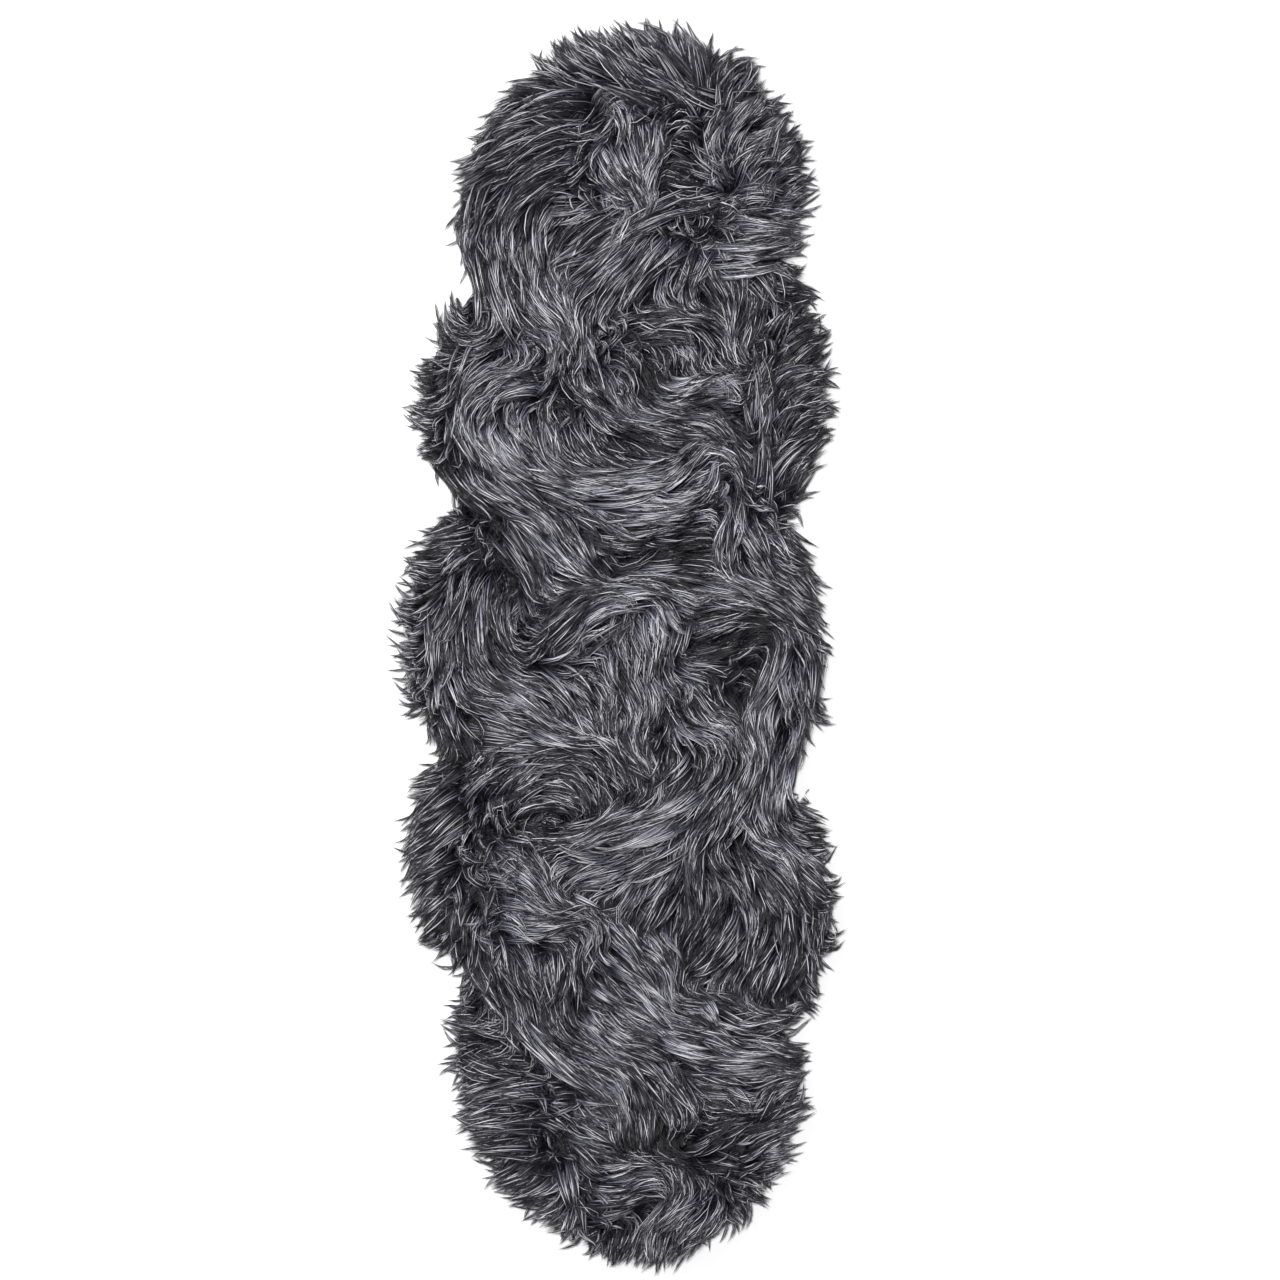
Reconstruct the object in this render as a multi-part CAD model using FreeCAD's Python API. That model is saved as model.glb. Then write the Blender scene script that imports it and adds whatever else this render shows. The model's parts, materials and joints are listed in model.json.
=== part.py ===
"""Long-pile faux-fur runner rug, cut like a row of pelts and sewn from five panels.

Frame: millimetres, +Z up. The rug lies flat with its length along Y and the head end towards +Y.
The origin is the centre of the bounding box, on the floor. Every panel is a stack of the same
layers: grip dots, backing, interlining, knitted ground cloth and pile, with tape round its edge.
Neighbouring panels meet at a waist, where the rug folds on the seam tape that joins them.
"""
import FreeCAD, Part
import math
import os

from FreeCAD import Vector

# ---- outline of the cloth, before the pile hangs over it (x, y) ----
# A waist is the line on which two panels are sewn together: its left and right end.
WAISTS = [
    ((-199, 518), (235, 558)),
    ((-225, 209), (239, 188)),
    ((-242, -160), (237, -201)),
    ((-199, -480), (233, -563)),
]
# The widest points of the three middle panels: left and right.
MIDDLE_CRESTS = {
    "shoulder": ((-272, 352), (291, 374)),
    "centre": ((-300, 20), (283, -14)),
    "hip": ((-290, -310), (300, -378)),
}
# The free edge of the two end panels, between the ends of their one waist.
HEAD_EDGE = [(-219, 641), (-152, 786), (33, 884), (150, 855), (238, 752)]
TAIL_EDGE = [(253, -669), (217, -764), (45, -884), (-112, -814), (-208, -686)]

# ---- layers, from the floor up ----
DOT_HEIGHT = 1.2
BACKING_THICKNESS = 0.8
INTERLINING_THICKNESS = 3.0
GROUND_THICKNESS = 1.5
TAPE_THICKNESS = 0.8
THREAD_THICKNESS = 0.3

# ---- pile ----
PILE_LOFT = 38.0            # thickness of the lying pile above its ground cloth
PILE_REACH = 30.0           # how far the pile hangs out past the cut edge
PILE_ROOT_INSET = 7.0       # the pile starts this far inside the cut edge, clear of the binding
# Height above the ground cloth and reach past the cut edge, as shares of the loft and the reach.
PILE_SHAPE = [(0.26, 0.70), (0.62, 1.0), (0.88, 0.55), (1.0, -0.30)]

# ---- folds: each waist turns up or down by up to 60 degrees about its seam line at floor level ----
END_SLANT_DEG = 31.0        # panel ends lean back this far, so that the pile clears when folded
END_CLEARANCE = 0.6         # half of the gap between two panels at floor level
WEDGE_OVERRUN = 80.0        # the room for a fold runs past the pile's sides by this
WEDGE_OVERRUN_Z = 0.5       # and past its top and underside by this
END_CENTRE_SHIFT = Vector(0, 110, 0)    # from an end panel's seam to the middle of its curve

# ---- trim ----
BINDING_UNDER_WIDTH = 12.0
BINDING_TOP_WIDTH = 6.0
SEAM_TAPE_WIDTH = 24.0
SEAM_TAPE_INSET = 4.0        # from the binding's inner edge to the end of a seam tape
STITCH_LENGTH = 7.0
STITCH_WIDTH = 1.0
STITCH_PITCH = 14.0
STITCH_LINE_OFFSET = 8.0    # from the fold to each row of stitches
DOT_RADIUS = 5.0
DOT_PITCH = 72.0
DOT_EDGE_MARGIN = 26.0
DOT_FILLET = 0.8
LABEL_SIZE = (34.0, 56.0)
LABEL_THICKNESS = 0.3
LABEL_CORNER = (-176.0, -700.0)

# ---- heights that follow from the layers ----
Z_BACKING = DOT_HEIGHT
Z_INTERLINING = Z_BACKING + BACKING_THICKNESS
Z_GROUND = Z_INTERLINING + INTERLINING_THICKNESS
Z_PILE = Z_GROUND + GROUND_THICKNESS
Z_TOP = Z_PILE + PILE_LOFT
Z_TAPE = Z_BACKING - TAPE_THICKNESS

PANELS = ["head", "shoulder", "centre", "hip", "tail"]


def end_gap(z):
    """Distance from the fold line back to a panel's end face at height z."""
    return END_CLEARANCE + z * math.tan(math.radians(END_SLANT_DEG))


def waist_frame(index):
    """Left end, right end, unit direction to the right, and unit normal towards the head."""
    left, right = (Vector(x, y, 0) for x, y in WAISTS[index])
    along = (right - left).normalize()
    return left, right, along, Vector(-along.y, along.x, 0)


def waist_ends(index, spread):
    """The two ends of a seam line, each moved out along the line by spread."""
    left, right, along, _ = waist_frame(index)
    return left - along * spread, right + along * spread


def waists_of(panel):
    """Indices of the waists at which a panel meets its neighbours."""
    place = PANELS.index(panel)
    return [i for i in (place - 1, place) if 0 <= i < len(WAISTS)]


def at_height(points, z):
    return [Vector(p.x, p.y, z) for p in points]


def end_wire(start, free_edge, finish, spread, z):
    """Outline of an end panel: a smooth free edge from one end of its seam to the other."""
    centre = (start + finish) * 0.5 + END_CENTRE_SHIFT * (1 if free_edge is HEAD_EDGE else -1)
    points = [start]
    for x, y in free_edge:
        point = Vector(x, y, 0)
        points.append(point + (point - centre).normalize() * spread)
    points = at_height(points + [finish], z)
    curve = Part.BSplineCurve()
    curve.interpolate(points)
    return Part.Wire([curve.toShape(), Part.makeLine(points[-1], points[0])])


def panel_wire(panel, spread, z):
    """Outline of one panel up to its seam lines, at height z, spread past the cut edge."""
    if panel == "head":
        left, right = waist_ends(0, spread)
        return end_wire(left, HEAD_EDGE, right, spread, z)
    if panel == "tail":
        left, right = waist_ends(len(WAISTS) - 1, spread)
        return end_wire(right, TAIL_EDGE, left, spread, z)
    upper, lower = waists_of(panel)
    upper_left, upper_right = at_height(waist_ends(upper, spread), z)
    lower_left, lower_right = at_height(waist_ends(lower, spread), z)
    (left_x, left_y), (right_x, right_y) = MIDDLE_CRESTS[panel]
    left_crest = Vector(left_x - spread, left_y, z)
    right_crest = Vector(right_x + spread, right_y, z)
    return Part.Wire([
        Part.makeLine(upper_left, upper_right),
        Part.Arc(upper_right, right_crest, lower_right).toShape(),
        Part.makeLine(lower_right, lower_left),
        Part.Arc(lower_left, left_crest, upper_left).toShape(),
    ])


def slab(panel, spread, bottom, top):
    """A flat plate of one panel's outline between two heights."""
    face = Part.Face(panel_wire(panel, spread, bottom))
    return face.extrude(Vector(0, 0, top - bottom))


def fold_room(index):
    """The wedge-shaped space over a waist that is kept clear, so that the panels can fold up."""
    left, right, along, normal = waist_frame(index)
    start = left - along * WEDGE_OVERRUN
    low, high = end_gap(-WEDGE_OVERRUN_Z), end_gap(Z_TOP + WEDGE_OVERRUN_Z)
    down = Vector(0, 0, -WEDGE_OVERRUN_Z)
    up = Vector(0, 0, Z_TOP + WEDGE_OVERRUN_Z)
    section = [start - normal * low + down, start + normal * low + down,
               start + normal * high + up, start - normal * high + up]
    face = Part.Face(Part.makePolygon(section + section[:1]))
    return face.extrude(along * ((right - left).Length + 2 * WEDGE_OVERRUN))


def trimmed(panel, shape):
    """A panel's shape with the room for its folds cut away."""
    for index in waists_of(panel):
        shape = shape.cut(fold_room(index))
    return shape


def layer(panel, bottom, thickness):
    """A cloth layer, cut to the panel's outline."""
    return trimmed(panel, slab(panel, 0, bottom, bottom + thickness))


def pile(panel):
    """The lying pile: narrow at its roots, hanging past the edge, and crowned on top."""
    levels = [(0.0, -PILE_ROOT_INSET), (0.04, -PILE_ROOT_INSET)]
    levels += [(height, PILE_REACH * reach) for height, reach in PILE_SHAPE]
    wires = [panel_wire(panel, spread, Z_PILE + height * PILE_LOFT) for height, spread in levels]
    return trimmed(panel, Part.makeLoft(wires, True, True))


def edge_binding(panel):
    """Tape folded round the free edges: under the backing, up the edge and over the ground cloth."""
    top = Z_PILE + TAPE_THICKNESS
    shell = slab(panel, TAPE_THICKNESS, Z_TAPE, top)
    cloth = slab(panel, 0, Z_BACKING, Z_PILE)
    under_window = slab(panel, -BINDING_UNDER_WIDTH, Z_TAPE, Z_BACKING)
    top_window = slab(panel, -BINDING_TOP_WIDTH, Z_PILE, top)
    return trimmed(panel, shell.cut(cloth).cut(under_window).cut(top_window))


def label_box(margin=0.0):
    """The care label's place under the tail's backing, grown by a margin."""
    width, length = LABEL_SIZE
    x, y = LABEL_CORNER
    corner = Vector(x - margin, y - margin, Z_BACKING - LABEL_THICKNESS)
    return Part.makeBox(width + 2 * margin, length + 2 * margin, LABEL_THICKNESS, corner)


def dot_has_room(panel, field, spot):
    """True where a dot clears the cloth's edge, the folds and, on the tail, the care label."""
    if not field.isInside(spot, 0.1, True):
        return False
    for index in waists_of(panel):
        left, _, _, normal = waist_frame(index)
        if abs((spot - left).dot(normal)) < DOT_EDGE_MARGIN:
            return False
    label = label_box(DOT_RADIUS + 1.0).BoundBox
    return panel != "tail" or not label.isInside(Vector(spot.x, spot.y, label.Center.z))


def grip_dots(panel):
    """Low rubber domes in staggered rows over the backing."""
    field = Part.Face(panel_wire(panel, -DOT_EDGE_MARGIN, 0))
    box = field.BoundBox
    dome = Part.makeCylinder(DOT_RADIUS, DOT_HEIGHT)
    dome = dome.makeFillet(DOT_FILLET, [e for e in dome.Edges if e.BoundBox.ZMax < DOT_FILLET])
    row_step = DOT_PITCH * math.sqrt(3) / 2
    dots = []
    for row in range(int(box.YLength / row_step) + 1):
        y = box.YMin + DOT_RADIUS + row * row_step
        x = box.XMin + DOT_RADIUS + (row % 2) * DOT_PITCH / 2
        while x < box.XMax:
            spot = Vector(x, y, 0)
            if dot_has_room(panel, field, spot):
                dots.append(dome.translated(spot))
            x += DOT_PITCH
    return Part.makeCompound(dots)


def seam_strip(index):
    """Start, end, direction and normal of the seam between the bindings of its two sides."""
    left, right, along, normal = waist_frame(index)
    inset = along * (BINDING_UNDER_WIDTH + SEAM_TAPE_INSET)
    return left + inset, right - inset, along, normal


def seam_tape(index):
    """Flat tape under two backings, across their seam."""
    start, end, along, normal = seam_strip(index)
    half = normal * (SEAM_TAPE_WIDTH / 2)
    corners = at_height([start - half, end - half, end + half, start + half], Z_TAPE)
    outline = Part.makePolygon(corners + corners[:1])
    return Part.Face(outline).extrude(Vector(0, 0, TAPE_THICKNESS))


def seam_stitches(index, side):
    """A row of running stitches under the tape, on one side of the fold."""
    start, end, along, normal = seam_strip(index)
    turn = math.degrees(math.atan2(along.y, along.x))
    stitch = Part.makeBox(STITCH_LENGTH, STITCH_WIDTH, THREAD_THICKNESS)
    stitch.rotate(Vector(0, 0, 0), Vector(0, 0, 1), turn)
    bottom = Vector(0, 0, Z_TAPE - THREAD_THICKNESS)
    line = start + normal * (side * STITCH_LINE_OFFSET - STITCH_WIDTH / 2) + bottom
    count = int(((end - start).Length - STITCH_LENGTH) / STITCH_PITCH) + 1
    row = [stitch.translated(line + along * (i * STITCH_PITCH)) for i in range(count)]
    return Part.makeCompound(row)


def build():
    """Every node of the rug, by name."""
    nodes = {}
    for panel in PANELS:
        nodes[f"{panel}_fur_pile"] = pile(panel)
        nodes[f"{panel}_ground_cloth"] = layer(panel, Z_GROUND, GROUND_THICKNESS)
        nodes[f"{panel}_interlining"] = layer(panel, Z_INTERLINING, INTERLINING_THICKNESS)
        nodes[f"{panel}_backing"] = layer(panel, Z_BACKING, BACKING_THICKNESS)
        nodes[f"{panel}_edge_binding"] = edge_binding(panel)
        nodes[f"{panel}_grip_dots"] = grip_dots(panel)
    for index in range(len(WAISTS)):
        upper, lower = PANELS[index], PANELS[index + 1]
        nodes[f"{upper}_{lower}_seam_tape"] = seam_tape(index)
        nodes[f"{upper}_stitches_to_{lower}"] = seam_stitches(index, +1)
        nodes[f"{lower}_stitches_to_{upper}"] = seam_stitches(index, -1)
    nodes["care_label"] = label_box()
    return nodes


def main():
    os.makedirs("parts", exist_ok=True)
    nodes = build()
    whole = Part.makeCompound(list(nodes.values())).BoundBox
    for name, shape in nodes.items():
        if not shape.isValid():
            raise RuntimeError(f"{name} isn't a valid shape")
        shape.exportStep(os.path.join("parts", f"{name}.step"))
    print("box", [round(v, 2) for v in (whole.XMin, whole.YMin, whole.ZMin)],
          [round(v, 2) for v in (whole.XMax, whole.YMax, whole.ZMax)])
    for index in range(len(WAISTS)):
        left, right, along, normal = waist_frame(index)
        middle = (left + right) * 0.5
        print("waist", index + 1, "middle", round(middle.x, 2), round(middle.y, 2),
              "direction", round(along.x, 6), round(along.y, 6))
    print("cloth area m2", round(sum(nodes[f"{p}_backing"].Volume for p in PANELS)
                                 / BACKING_THICKNESS / 1e6, 4))
    print("solids", sum(len(shape.Solids) for shape in nodes.values()), "nodes", len(nodes))


main()
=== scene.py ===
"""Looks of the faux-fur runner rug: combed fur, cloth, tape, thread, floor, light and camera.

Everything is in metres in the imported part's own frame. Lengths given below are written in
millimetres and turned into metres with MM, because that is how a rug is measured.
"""

import json
import math

import bpy
import numpy as np
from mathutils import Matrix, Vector
from mathutils.geometry import delaunay_2d_cdt

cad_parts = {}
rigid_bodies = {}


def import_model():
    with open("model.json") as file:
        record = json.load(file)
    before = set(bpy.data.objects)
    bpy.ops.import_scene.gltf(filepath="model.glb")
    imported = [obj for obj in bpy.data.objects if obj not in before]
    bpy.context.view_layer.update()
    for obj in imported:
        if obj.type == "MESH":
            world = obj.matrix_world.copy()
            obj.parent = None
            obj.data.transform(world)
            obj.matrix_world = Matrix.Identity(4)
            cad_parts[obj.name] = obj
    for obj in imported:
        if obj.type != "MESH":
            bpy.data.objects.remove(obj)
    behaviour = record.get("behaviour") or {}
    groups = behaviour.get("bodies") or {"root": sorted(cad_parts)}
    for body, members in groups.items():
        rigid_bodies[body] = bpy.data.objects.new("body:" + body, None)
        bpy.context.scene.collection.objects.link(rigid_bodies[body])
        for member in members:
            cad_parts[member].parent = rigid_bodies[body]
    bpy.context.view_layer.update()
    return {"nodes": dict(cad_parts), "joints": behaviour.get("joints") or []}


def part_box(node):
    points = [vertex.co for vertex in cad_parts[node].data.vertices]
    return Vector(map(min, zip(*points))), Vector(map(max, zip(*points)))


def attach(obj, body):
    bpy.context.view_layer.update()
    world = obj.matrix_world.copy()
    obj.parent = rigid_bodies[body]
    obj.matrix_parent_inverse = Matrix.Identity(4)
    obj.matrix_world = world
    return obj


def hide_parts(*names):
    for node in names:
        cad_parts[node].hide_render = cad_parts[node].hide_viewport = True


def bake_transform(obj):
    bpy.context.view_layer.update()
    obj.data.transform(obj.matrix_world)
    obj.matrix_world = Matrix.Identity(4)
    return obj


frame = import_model()

MM = 0.001
PANELS = ["head", "shoulder", "centre", "hip", "tail"]
JOINTS = {joint["name"]: joint for joint in frame["joints"]}
ROOT_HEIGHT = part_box("centre_ground_cloth")[1].z

# ---------------------------------------------------------------------------------------------
# Combing, read from the photograph and written in millimetres from the rug's middle. Each
# stroke is a sweep of hair from root to tip:
# start x, y, a point on the way x, y, end x, y, and how much the hair there catches the light.
# ---------------------------------------------------------------------------------------------
# The last number of each stroke is painted sheen: strands there are painted brighter where the hair
# catches the light and darker where it does not.
COMB = {
    "head": [
        (120, 780, 85, 840, 40, 895, 0.55),
        (130, 790, 120, 850, 105, 905, 0.55),
        (140, 790, 165, 840, 205, 862, 0.60),
        (80, 765, 20, 800, -60, 832, 0.50),
        (60, 800, 10, 840, -30, 900, 0.45),
        (-20, 830, -65, 855, -92, 895, 0.35),
        (-60, 800, -120, 822, -165, 820, 0.35),
        (-20, 785, -110, 795, -190, 755, 0.45),
        (-40, 740, -120, 745, -205, 695, 0.42),
        (-30, 700, -110, 705, -190, 650, 0.42),
        (-60, 670, -120, 665, -190, 600, 0.40),
        (-170, 700, -205, 640, -210, 570, 0.50),
        (-195, 720, -222, 700, -250, 690, 0.40),
        (-210, 600, -205, 540, -190, 480, 0.45),
        (-205, 640, -232, 625, -245, 600, 0.40),
        (-150, 660, -158, 570, -120, 490, 0.55),
        (-135, 570, -120, 500, -60, 450, 0.75),
        (-185, 600, -170, 500, -125, 410, 0.60),
        (-100, 640, -120, 570, -105, 500, 0.50),
        (150, 655, 60, 632, -20, 590, 0.60),
        (100, 640, 30, 605, -40, 560, 0.60),
        (60, 640, -20, 620, -90, 560, 0.50),
        (0, 650, -60, 630, -110, 580, 0.50),
        (100, 600, 60, 560, 10, 510, 0.60),
        (40, 590, 0, 540, -30, 490, 0.50),
        (130, 590, 110, 545, 95, 500, 0.50),
        (110, 570, 140, 530, 160, 490, 0.60),
        (150, 560, 178, 530, 175, 480, 0.55),
        (-35, 800, 6, 775, 8, 722, 0.65),
        (-20, 755, -10, 700, 22, 655, 0.75),
        (6, 748, 15, 700, 42, 665, 0.75),
        (36, 764, 38, 728, 40, 694, 0.70),
        (58, 756, 58, 728, 50, 698, 0.65),
        (-28, 672, 0, 652, 34, 638, 0.60),
        (-30, 735, -55, 715, -60, 690, 0.15),
        (190, 788, 120, 802, 60, 835, 0.45),
        (165, 680, 138, 712, 125, 757, 0.50),
        (160, 690, 130, 702, 98, 730, 0.55),
        (155, 680, 115, 684, 78, 702, 0.30),
        (150, 665, 100, 655, 58, 672, 0.35),
        (172, 690, 172, 730, 202, 768, 0.60),
        (180, 685, 195, 715, 238, 735, 0.65),
        (190, 690, 215, 708, 248, 700, 0.60),
        (200, 680, 225, 720, 240, 775, 0.45),
        (150, 780, 200, 790, 255, 780, 0.40),
        (235, 700, 260, 733, 285, 740, 0.45),
        (235, 650, 262, 665, 290, 680, 0.40),
        (165, 642, 200, 662, 262, 648, 0.75),
        (60, 650, 130, 640, 200, 665, 0.35),
        (110, 625, 160, 640, 205, 612, 0.45),
        (130, 575, 190, 570, 280, 590, 0.85),
        (140, 560, 200, 550, 278, 560, 0.90),
        (150, 600, 210, 610, 275, 605, 0.60),
        (190, 555, 230, 530, 235, 480, 0.40),
        (200, 540, 205, 500, 195, 450, 0.40),
        (230, 540, 262, 532, 292, 520, 0.25),
    ],
    "shoulder": [
        (10, 455, 80, 480, 150, 475, 0.50),
        (0, 440, 70, 455, 140, 447, 0.45),
        (30, 425, 70, 410, 60, 395, 0.10),
        (130, 430, 100, 420, 110, 400, 0.25),
        (175, 460, 165, 430, 180, 405, 0.15),
        (55, 385, 105, 372, 150, 397, 1.00),
        (50, 360, 90, 350, 130, 367, 0.75),
        (-45, 395, -40, 370, -20, 355, 0.60),
        (0, 390, 15, 375, 10, 355, 0.60),
        (-60, 440, -75, 410, -70, 380, 0.35),
        (-190, 450, -230, 400, -245, 330, 0.45),
        (-235, 380, -225, 300, -170, 230, 0.55),
        (-190, 330, -170, 270, -100, 225, 0.80),
        (-215, 260, -165, 215, -110, 190, 0.65),
        (-255, 270, -225, 225, -200, 205, 0.35),
        (-150, 350, -140, 300, -90, 250, 0.65),
        (-90, 350, -85, 300, -50, 255, 0.50),
        (-40, 345, -40, 300, -10, 265, 0.40),
        (-100, 245, -20, 238, 60, 250, 0.90),
        (-60, 225, 20, 215, 100, 235, 0.90),
        (-50, 200, 30, 190, 110, 205, 0.85),
        (-20, 180, 50, 172, 120, 190, 0.70),
        (30, 235, 90, 250, 125, 285, 0.75),
        (100, 200, 135, 220, 150, 258, 0.60),
        (0, 335, 70, 325, 140, 300, 0.35),
        (90, 345, 150, 330, 190, 270, 0.45),
        (20, 290, 60, 275, 95, 280, 0.40),
        (-110, 390, -150, 388, -195, 378, 0.65),
        (-100, 370, -150, 372, -202, 350, 0.70),
        (70, 445, 105, 430, 120, 395, 0.60),
        (140, 300, 175, 265, 195, 215, 0.45),
        (-225, 440, -252, 458, -265, 490, 0.30),
        (-255, 390, -280, 387, -305, 395, 0.30),
        (-265, 330, -290, 332, -315, 345, 0.30),
        (-260, 290, -285, 285, -302, 280, 0.30),
        (200, 180, 215, 250, 210, 320, 0.50),
        (215, 200, 250, 270, 300, 312, 0.55),
        (210, 290, 220, 360, 205, 430, 0.50),
        (240, 300, 270, 350, 322, 352, 0.50),
        (220, 380, 255, 420, 300, 450, 0.40),
        (215, 420, 235, 470, 262, 500, 0.30),
        (262, 380, 290, 395, 318, 395, 0.30),
    ],
    "centre": [
        (-50, 165, 20, 150, 80, 160, 0.10),
        (20, 130, 70, 125, 120, 140, 0.10),
        (-120, 175, -85, 135, -50, 95, 0.65),
        (-180, 170, -150, 130, -120, 80, 0.50),
        (-60, 165, -40, 130, -25, 95, 0.60),
        (-200, 170, -240, 160, -290, 152, 0.50),
        (-190, 150, -235, 130, -262, 90, 0.52),
        (-215, 120, -235, 70, -240, 10, 0.58),
        (-260, 60, -265, 0, -262, -60, 0.58),
        (-200, 80, -200, 20, -195, -40, 0.60),
        (-165, 60, -168, 20, -150, -20, 0.40),
        (-285, 50, -310, 50, -335, 62, 0.42),
        (-285, -20, -305, -20, -332, -14, 0.42),
        (-280, -70, -295, -80, -315, -78, 0.30),
        (-265, 100, -290, 112, -315, 116, 0.30),
        (-130, -10, -80, 30, -30, 75, 0.35),
        (-60, 52, 20, 92, 122, 68, 0.90),
        (-50, 20, 10, 65, 90, 60, 1.00),
        (-70, -20, -20, 15, 40, 50, 0.60),
        (60, 60, 50, 20, 60, -30, 0.85),
        (20, 55, 0, 20, -10, -30, 0.60),
        (90, 50, 85, 15, 75, -30, 0.60),
        (100, 10, 150, 40, 210, 45, 0.30),
        (110, 60, 170, 65, 240, 40, 0.55),
        (120, 100, 180, 85, 250, 50, 0.65),
        (100, -30, 150, -20, 200, 0, 0.15),
        (130, -50, 165, -45, 195, -20, 0.20),
        (150, -40, 145, -60, 150, -85, 0.20),
        (180, 190, 200, 150, 230, 100, 0.60),
        (190, 195, 170, 160, 160, 120, 0.60),
        (220, 180, 255, 140, 297, 110, 0.50),
        (240, 120, 270, 80, 307, 52, 0.50),
        (210, 90, 250, 60, 292, 20, 0.50),
        (250, 0, 225, -50, 190, -110, 0.80),
        (285, -10, 285, -60, 280, -115, 0.50),
        (265, -20, 262, -70, 240, -120, 0.50),
        (285, -90, 305, -104, 325, -110, 0.35),
        (280, 10, 303, 2, 322, -8, 0.30),
        (85, -60, 110, -70, 100, -105, 0.85),
        (100, -108, 150, -105, 182, -120, 0.70),
        (0, -80, 20, -100, 10, -140, 0.65),
        (50, -60, 60, -100, 50, -140, 0.35),
        (-190, -50, -140, -70, -100, -110, 0.65),
        (-130, -40, -85, -65, -50, -110, 0.60),
        (-90, -50, -50, -60, -15, -100, 0.60),
        (-210, -100, -160, -115, -110, -135, 0.60),
        (-110, -115, -60, -135, 0, -132, 0.60),
        (-230, -132, -150, -140, -80, -150, 0.50),
        (-20, -40, -5, -80, -20, -120, 0.50),
        (-250, -80, -240, -120, -228, -150, 0.40),
        (110, -130, 150, -150, 140, -190, 0.50),
        (160, -140, 190, -160, 180, -190, 0.50),
    ],
    "hip": [
        (-225, -240, -190, -190, -130, -160, 0.50),
        (-170, -250, -140, -210, -80, -190, 0.50),
        (-110, -180, -60, -190, -30, -230, 0.50),
        (-130, -240, -85, -225, -40, -250, 0.40),
        (-225, -200, -265, -225, -305, -262, 0.45),
        (-215, -240, -255, -270, -300, -312, 0.45),
        (-255, -175, -285, -185, -317, -200, 0.40),
        (-235, -295, -270, -322, -312, -350, 0.42),
        (-240, -345, -265, -375, -298, -405, 0.42),
        (-255, -420, -275, -430, -297, -440, 0.30),
        (130, -200, 70, -250, -10, -275, 0.85),
        (110, -230, 40, -285, -50, -310, 0.90),
        (120, -260, 60, -320, -20, -345, 0.75),
        (20, -255, -40, -270, -100, -275, 0.50),
        (0, -310, -60, -330, -120, -370, 0.50),
        (-10, -150, 30, -175, 60, -200, 0.40),
        (90, -150, 80, -180, 50, -210, 0.50),
        (170, -170, 140, -220, 100, -280, 0.60),
        (200, -190, 170, -240, 150, -290, 0.50),
        (245, -140, 235, -200, 225, -240, 0.80),
        (215, -215, 215, -260, 245, -300, 0.85),
        (185, -230, 195, -270, 225, -300, 0.60),
        (262, -230, 288, -245, 312, -252, 0.30),
        (275, -285, 295, -290, 320, -288, 0.30),
        (250, -310, 275, -360, 272, -420, 0.35),
        (285, -350, 300, -400, 288, -450, 0.35),
        (270, -420, 262, -470, 230, -520, 0.40),
        (290, -370, 310, -375, 330, -366, 0.30),
        (290, -430, 312, -440, 332, -432, 0.30),
        (272, -480, 290, -500, 300, -516, 0.30),
        (160, -320, 180, -350, 190, -380, 0.50),
        (120, -300, 110, -340, 120, -380, 0.45),
        (200, -360, 210, -390, 200, -430, 0.30),
        (150, -380, 130, -410, 110, -440, 0.15),
        (180, -400, 160, -440, 130, -480, 0.40),
        (220, -430, 200, -470, 190, -500, 0.40),
        (160, -440, 120, -480, 80, -495, 0.45),
        (80, -340, 60, -390, 30, -435, 0.50),
        (30, -350, 0, -378, -60, -386, 0.25),
        (-190, -385, -120, -390, -50, -400, 0.85),
        (-170, -410, -110, -420, -60, -405, 0.75),
        (-100, -375, -60, -385, -10, -400, 0.65),
        (-170, -310, -140, -325, -110, -350, 0.75),
        (-200, -350, -170, -345, -130, -360, 0.65),
        (-210, -380, -225, -400, -230, -430, 0.30),
        (-180, -440, -175, -475, -165, -510, 0.45),
        (-130, -435, -120, -470, -115, -510, 0.40),
        (-80, -440, -75, -475, -80, -520, 0.35),
        (-210, -450, -195, -500, -160, -545, 0.50),
        (-30, -430, -50, -460, -55, -500, 0.40),
        (-20, -450, 20, -475, 50, -500, 0.85),
        (20, -435, 60, -450, 80, -480, 0.70),
        (-50, -490, -20, -510, 10, -530, 0.80),
        (90, -510, 120, -525, 150, -530, 0.15),
    ],
    "tail": [
        (-50, -540, -30, -560, -5, -580, 0.75),
        (-205, -492, -222, -500, -245, -508, 0.30),
        (-150, -535, -105, -590, -50, -640, 0.90),
        (-120, -560, -80, -615, -20, -655, 0.80),
        (-175, -520, -140, -570, -110, -600, 0.45),
        (-20, -600, 20, -625, 50, -660, 0.65),
        (40, -600, 75, -625, 95, -660, 0.60),
        (10, -570, 50, -580, 90, -600, 0.25),
        (50, -555, 110, -590, 180, -600, 0.85),
        (100, -540, 150, -560, 220, -575, 0.70),
        (110, -600, 170, -615, 240, -610, 0.85),
        (100, -625, 150, -645, 210, -650, 0.55),
        (180, -550, 220, -555, 260, -540, 0.50),
        (110, -515, 135, -535, 150, -560, 0.70),
        (230, -590, 255, -602, 285, -600, 0.40),
        (-140, -560, -180, -560, -238, -546, 0.35),
        (-110, -620, -170, -610, -232, -622, 0.45),
        (-90, -660, -150, -650, -235, -668, 0.50),
        (-90, -700, -150, -690, -235, -702, 0.50),
        (-110, -740, -160, -735, -225, -738, 0.40),
        (-120, -690, -80, -700, -50, -720, 0.60),
        (0, -660, 10, -700, 0, -735, 0.10),
        (50, -665, 50, -700, 40, -740, 0.10),
        (90, -660, 110, -690, 90, -720, 0.20),
        (205, -700, 215, -660, 240, -632, 0.60),
        (210, -700, 245, -680, 290, -665, 0.60),
        (190, -750, 220, -720, 270, -700, 0.70),
        (200, -770, 235, -757, 268, -748, 0.45),
        (130, -650, 170, -655, 195, -690, 0.50),
        (110, -720, 150, -700, 190, -690, 0.30),
        (-120, -760, -150, -775, -195, -792, 0.40),
        (-80, -780, -110, -800, -165, -818, 0.40),
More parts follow.
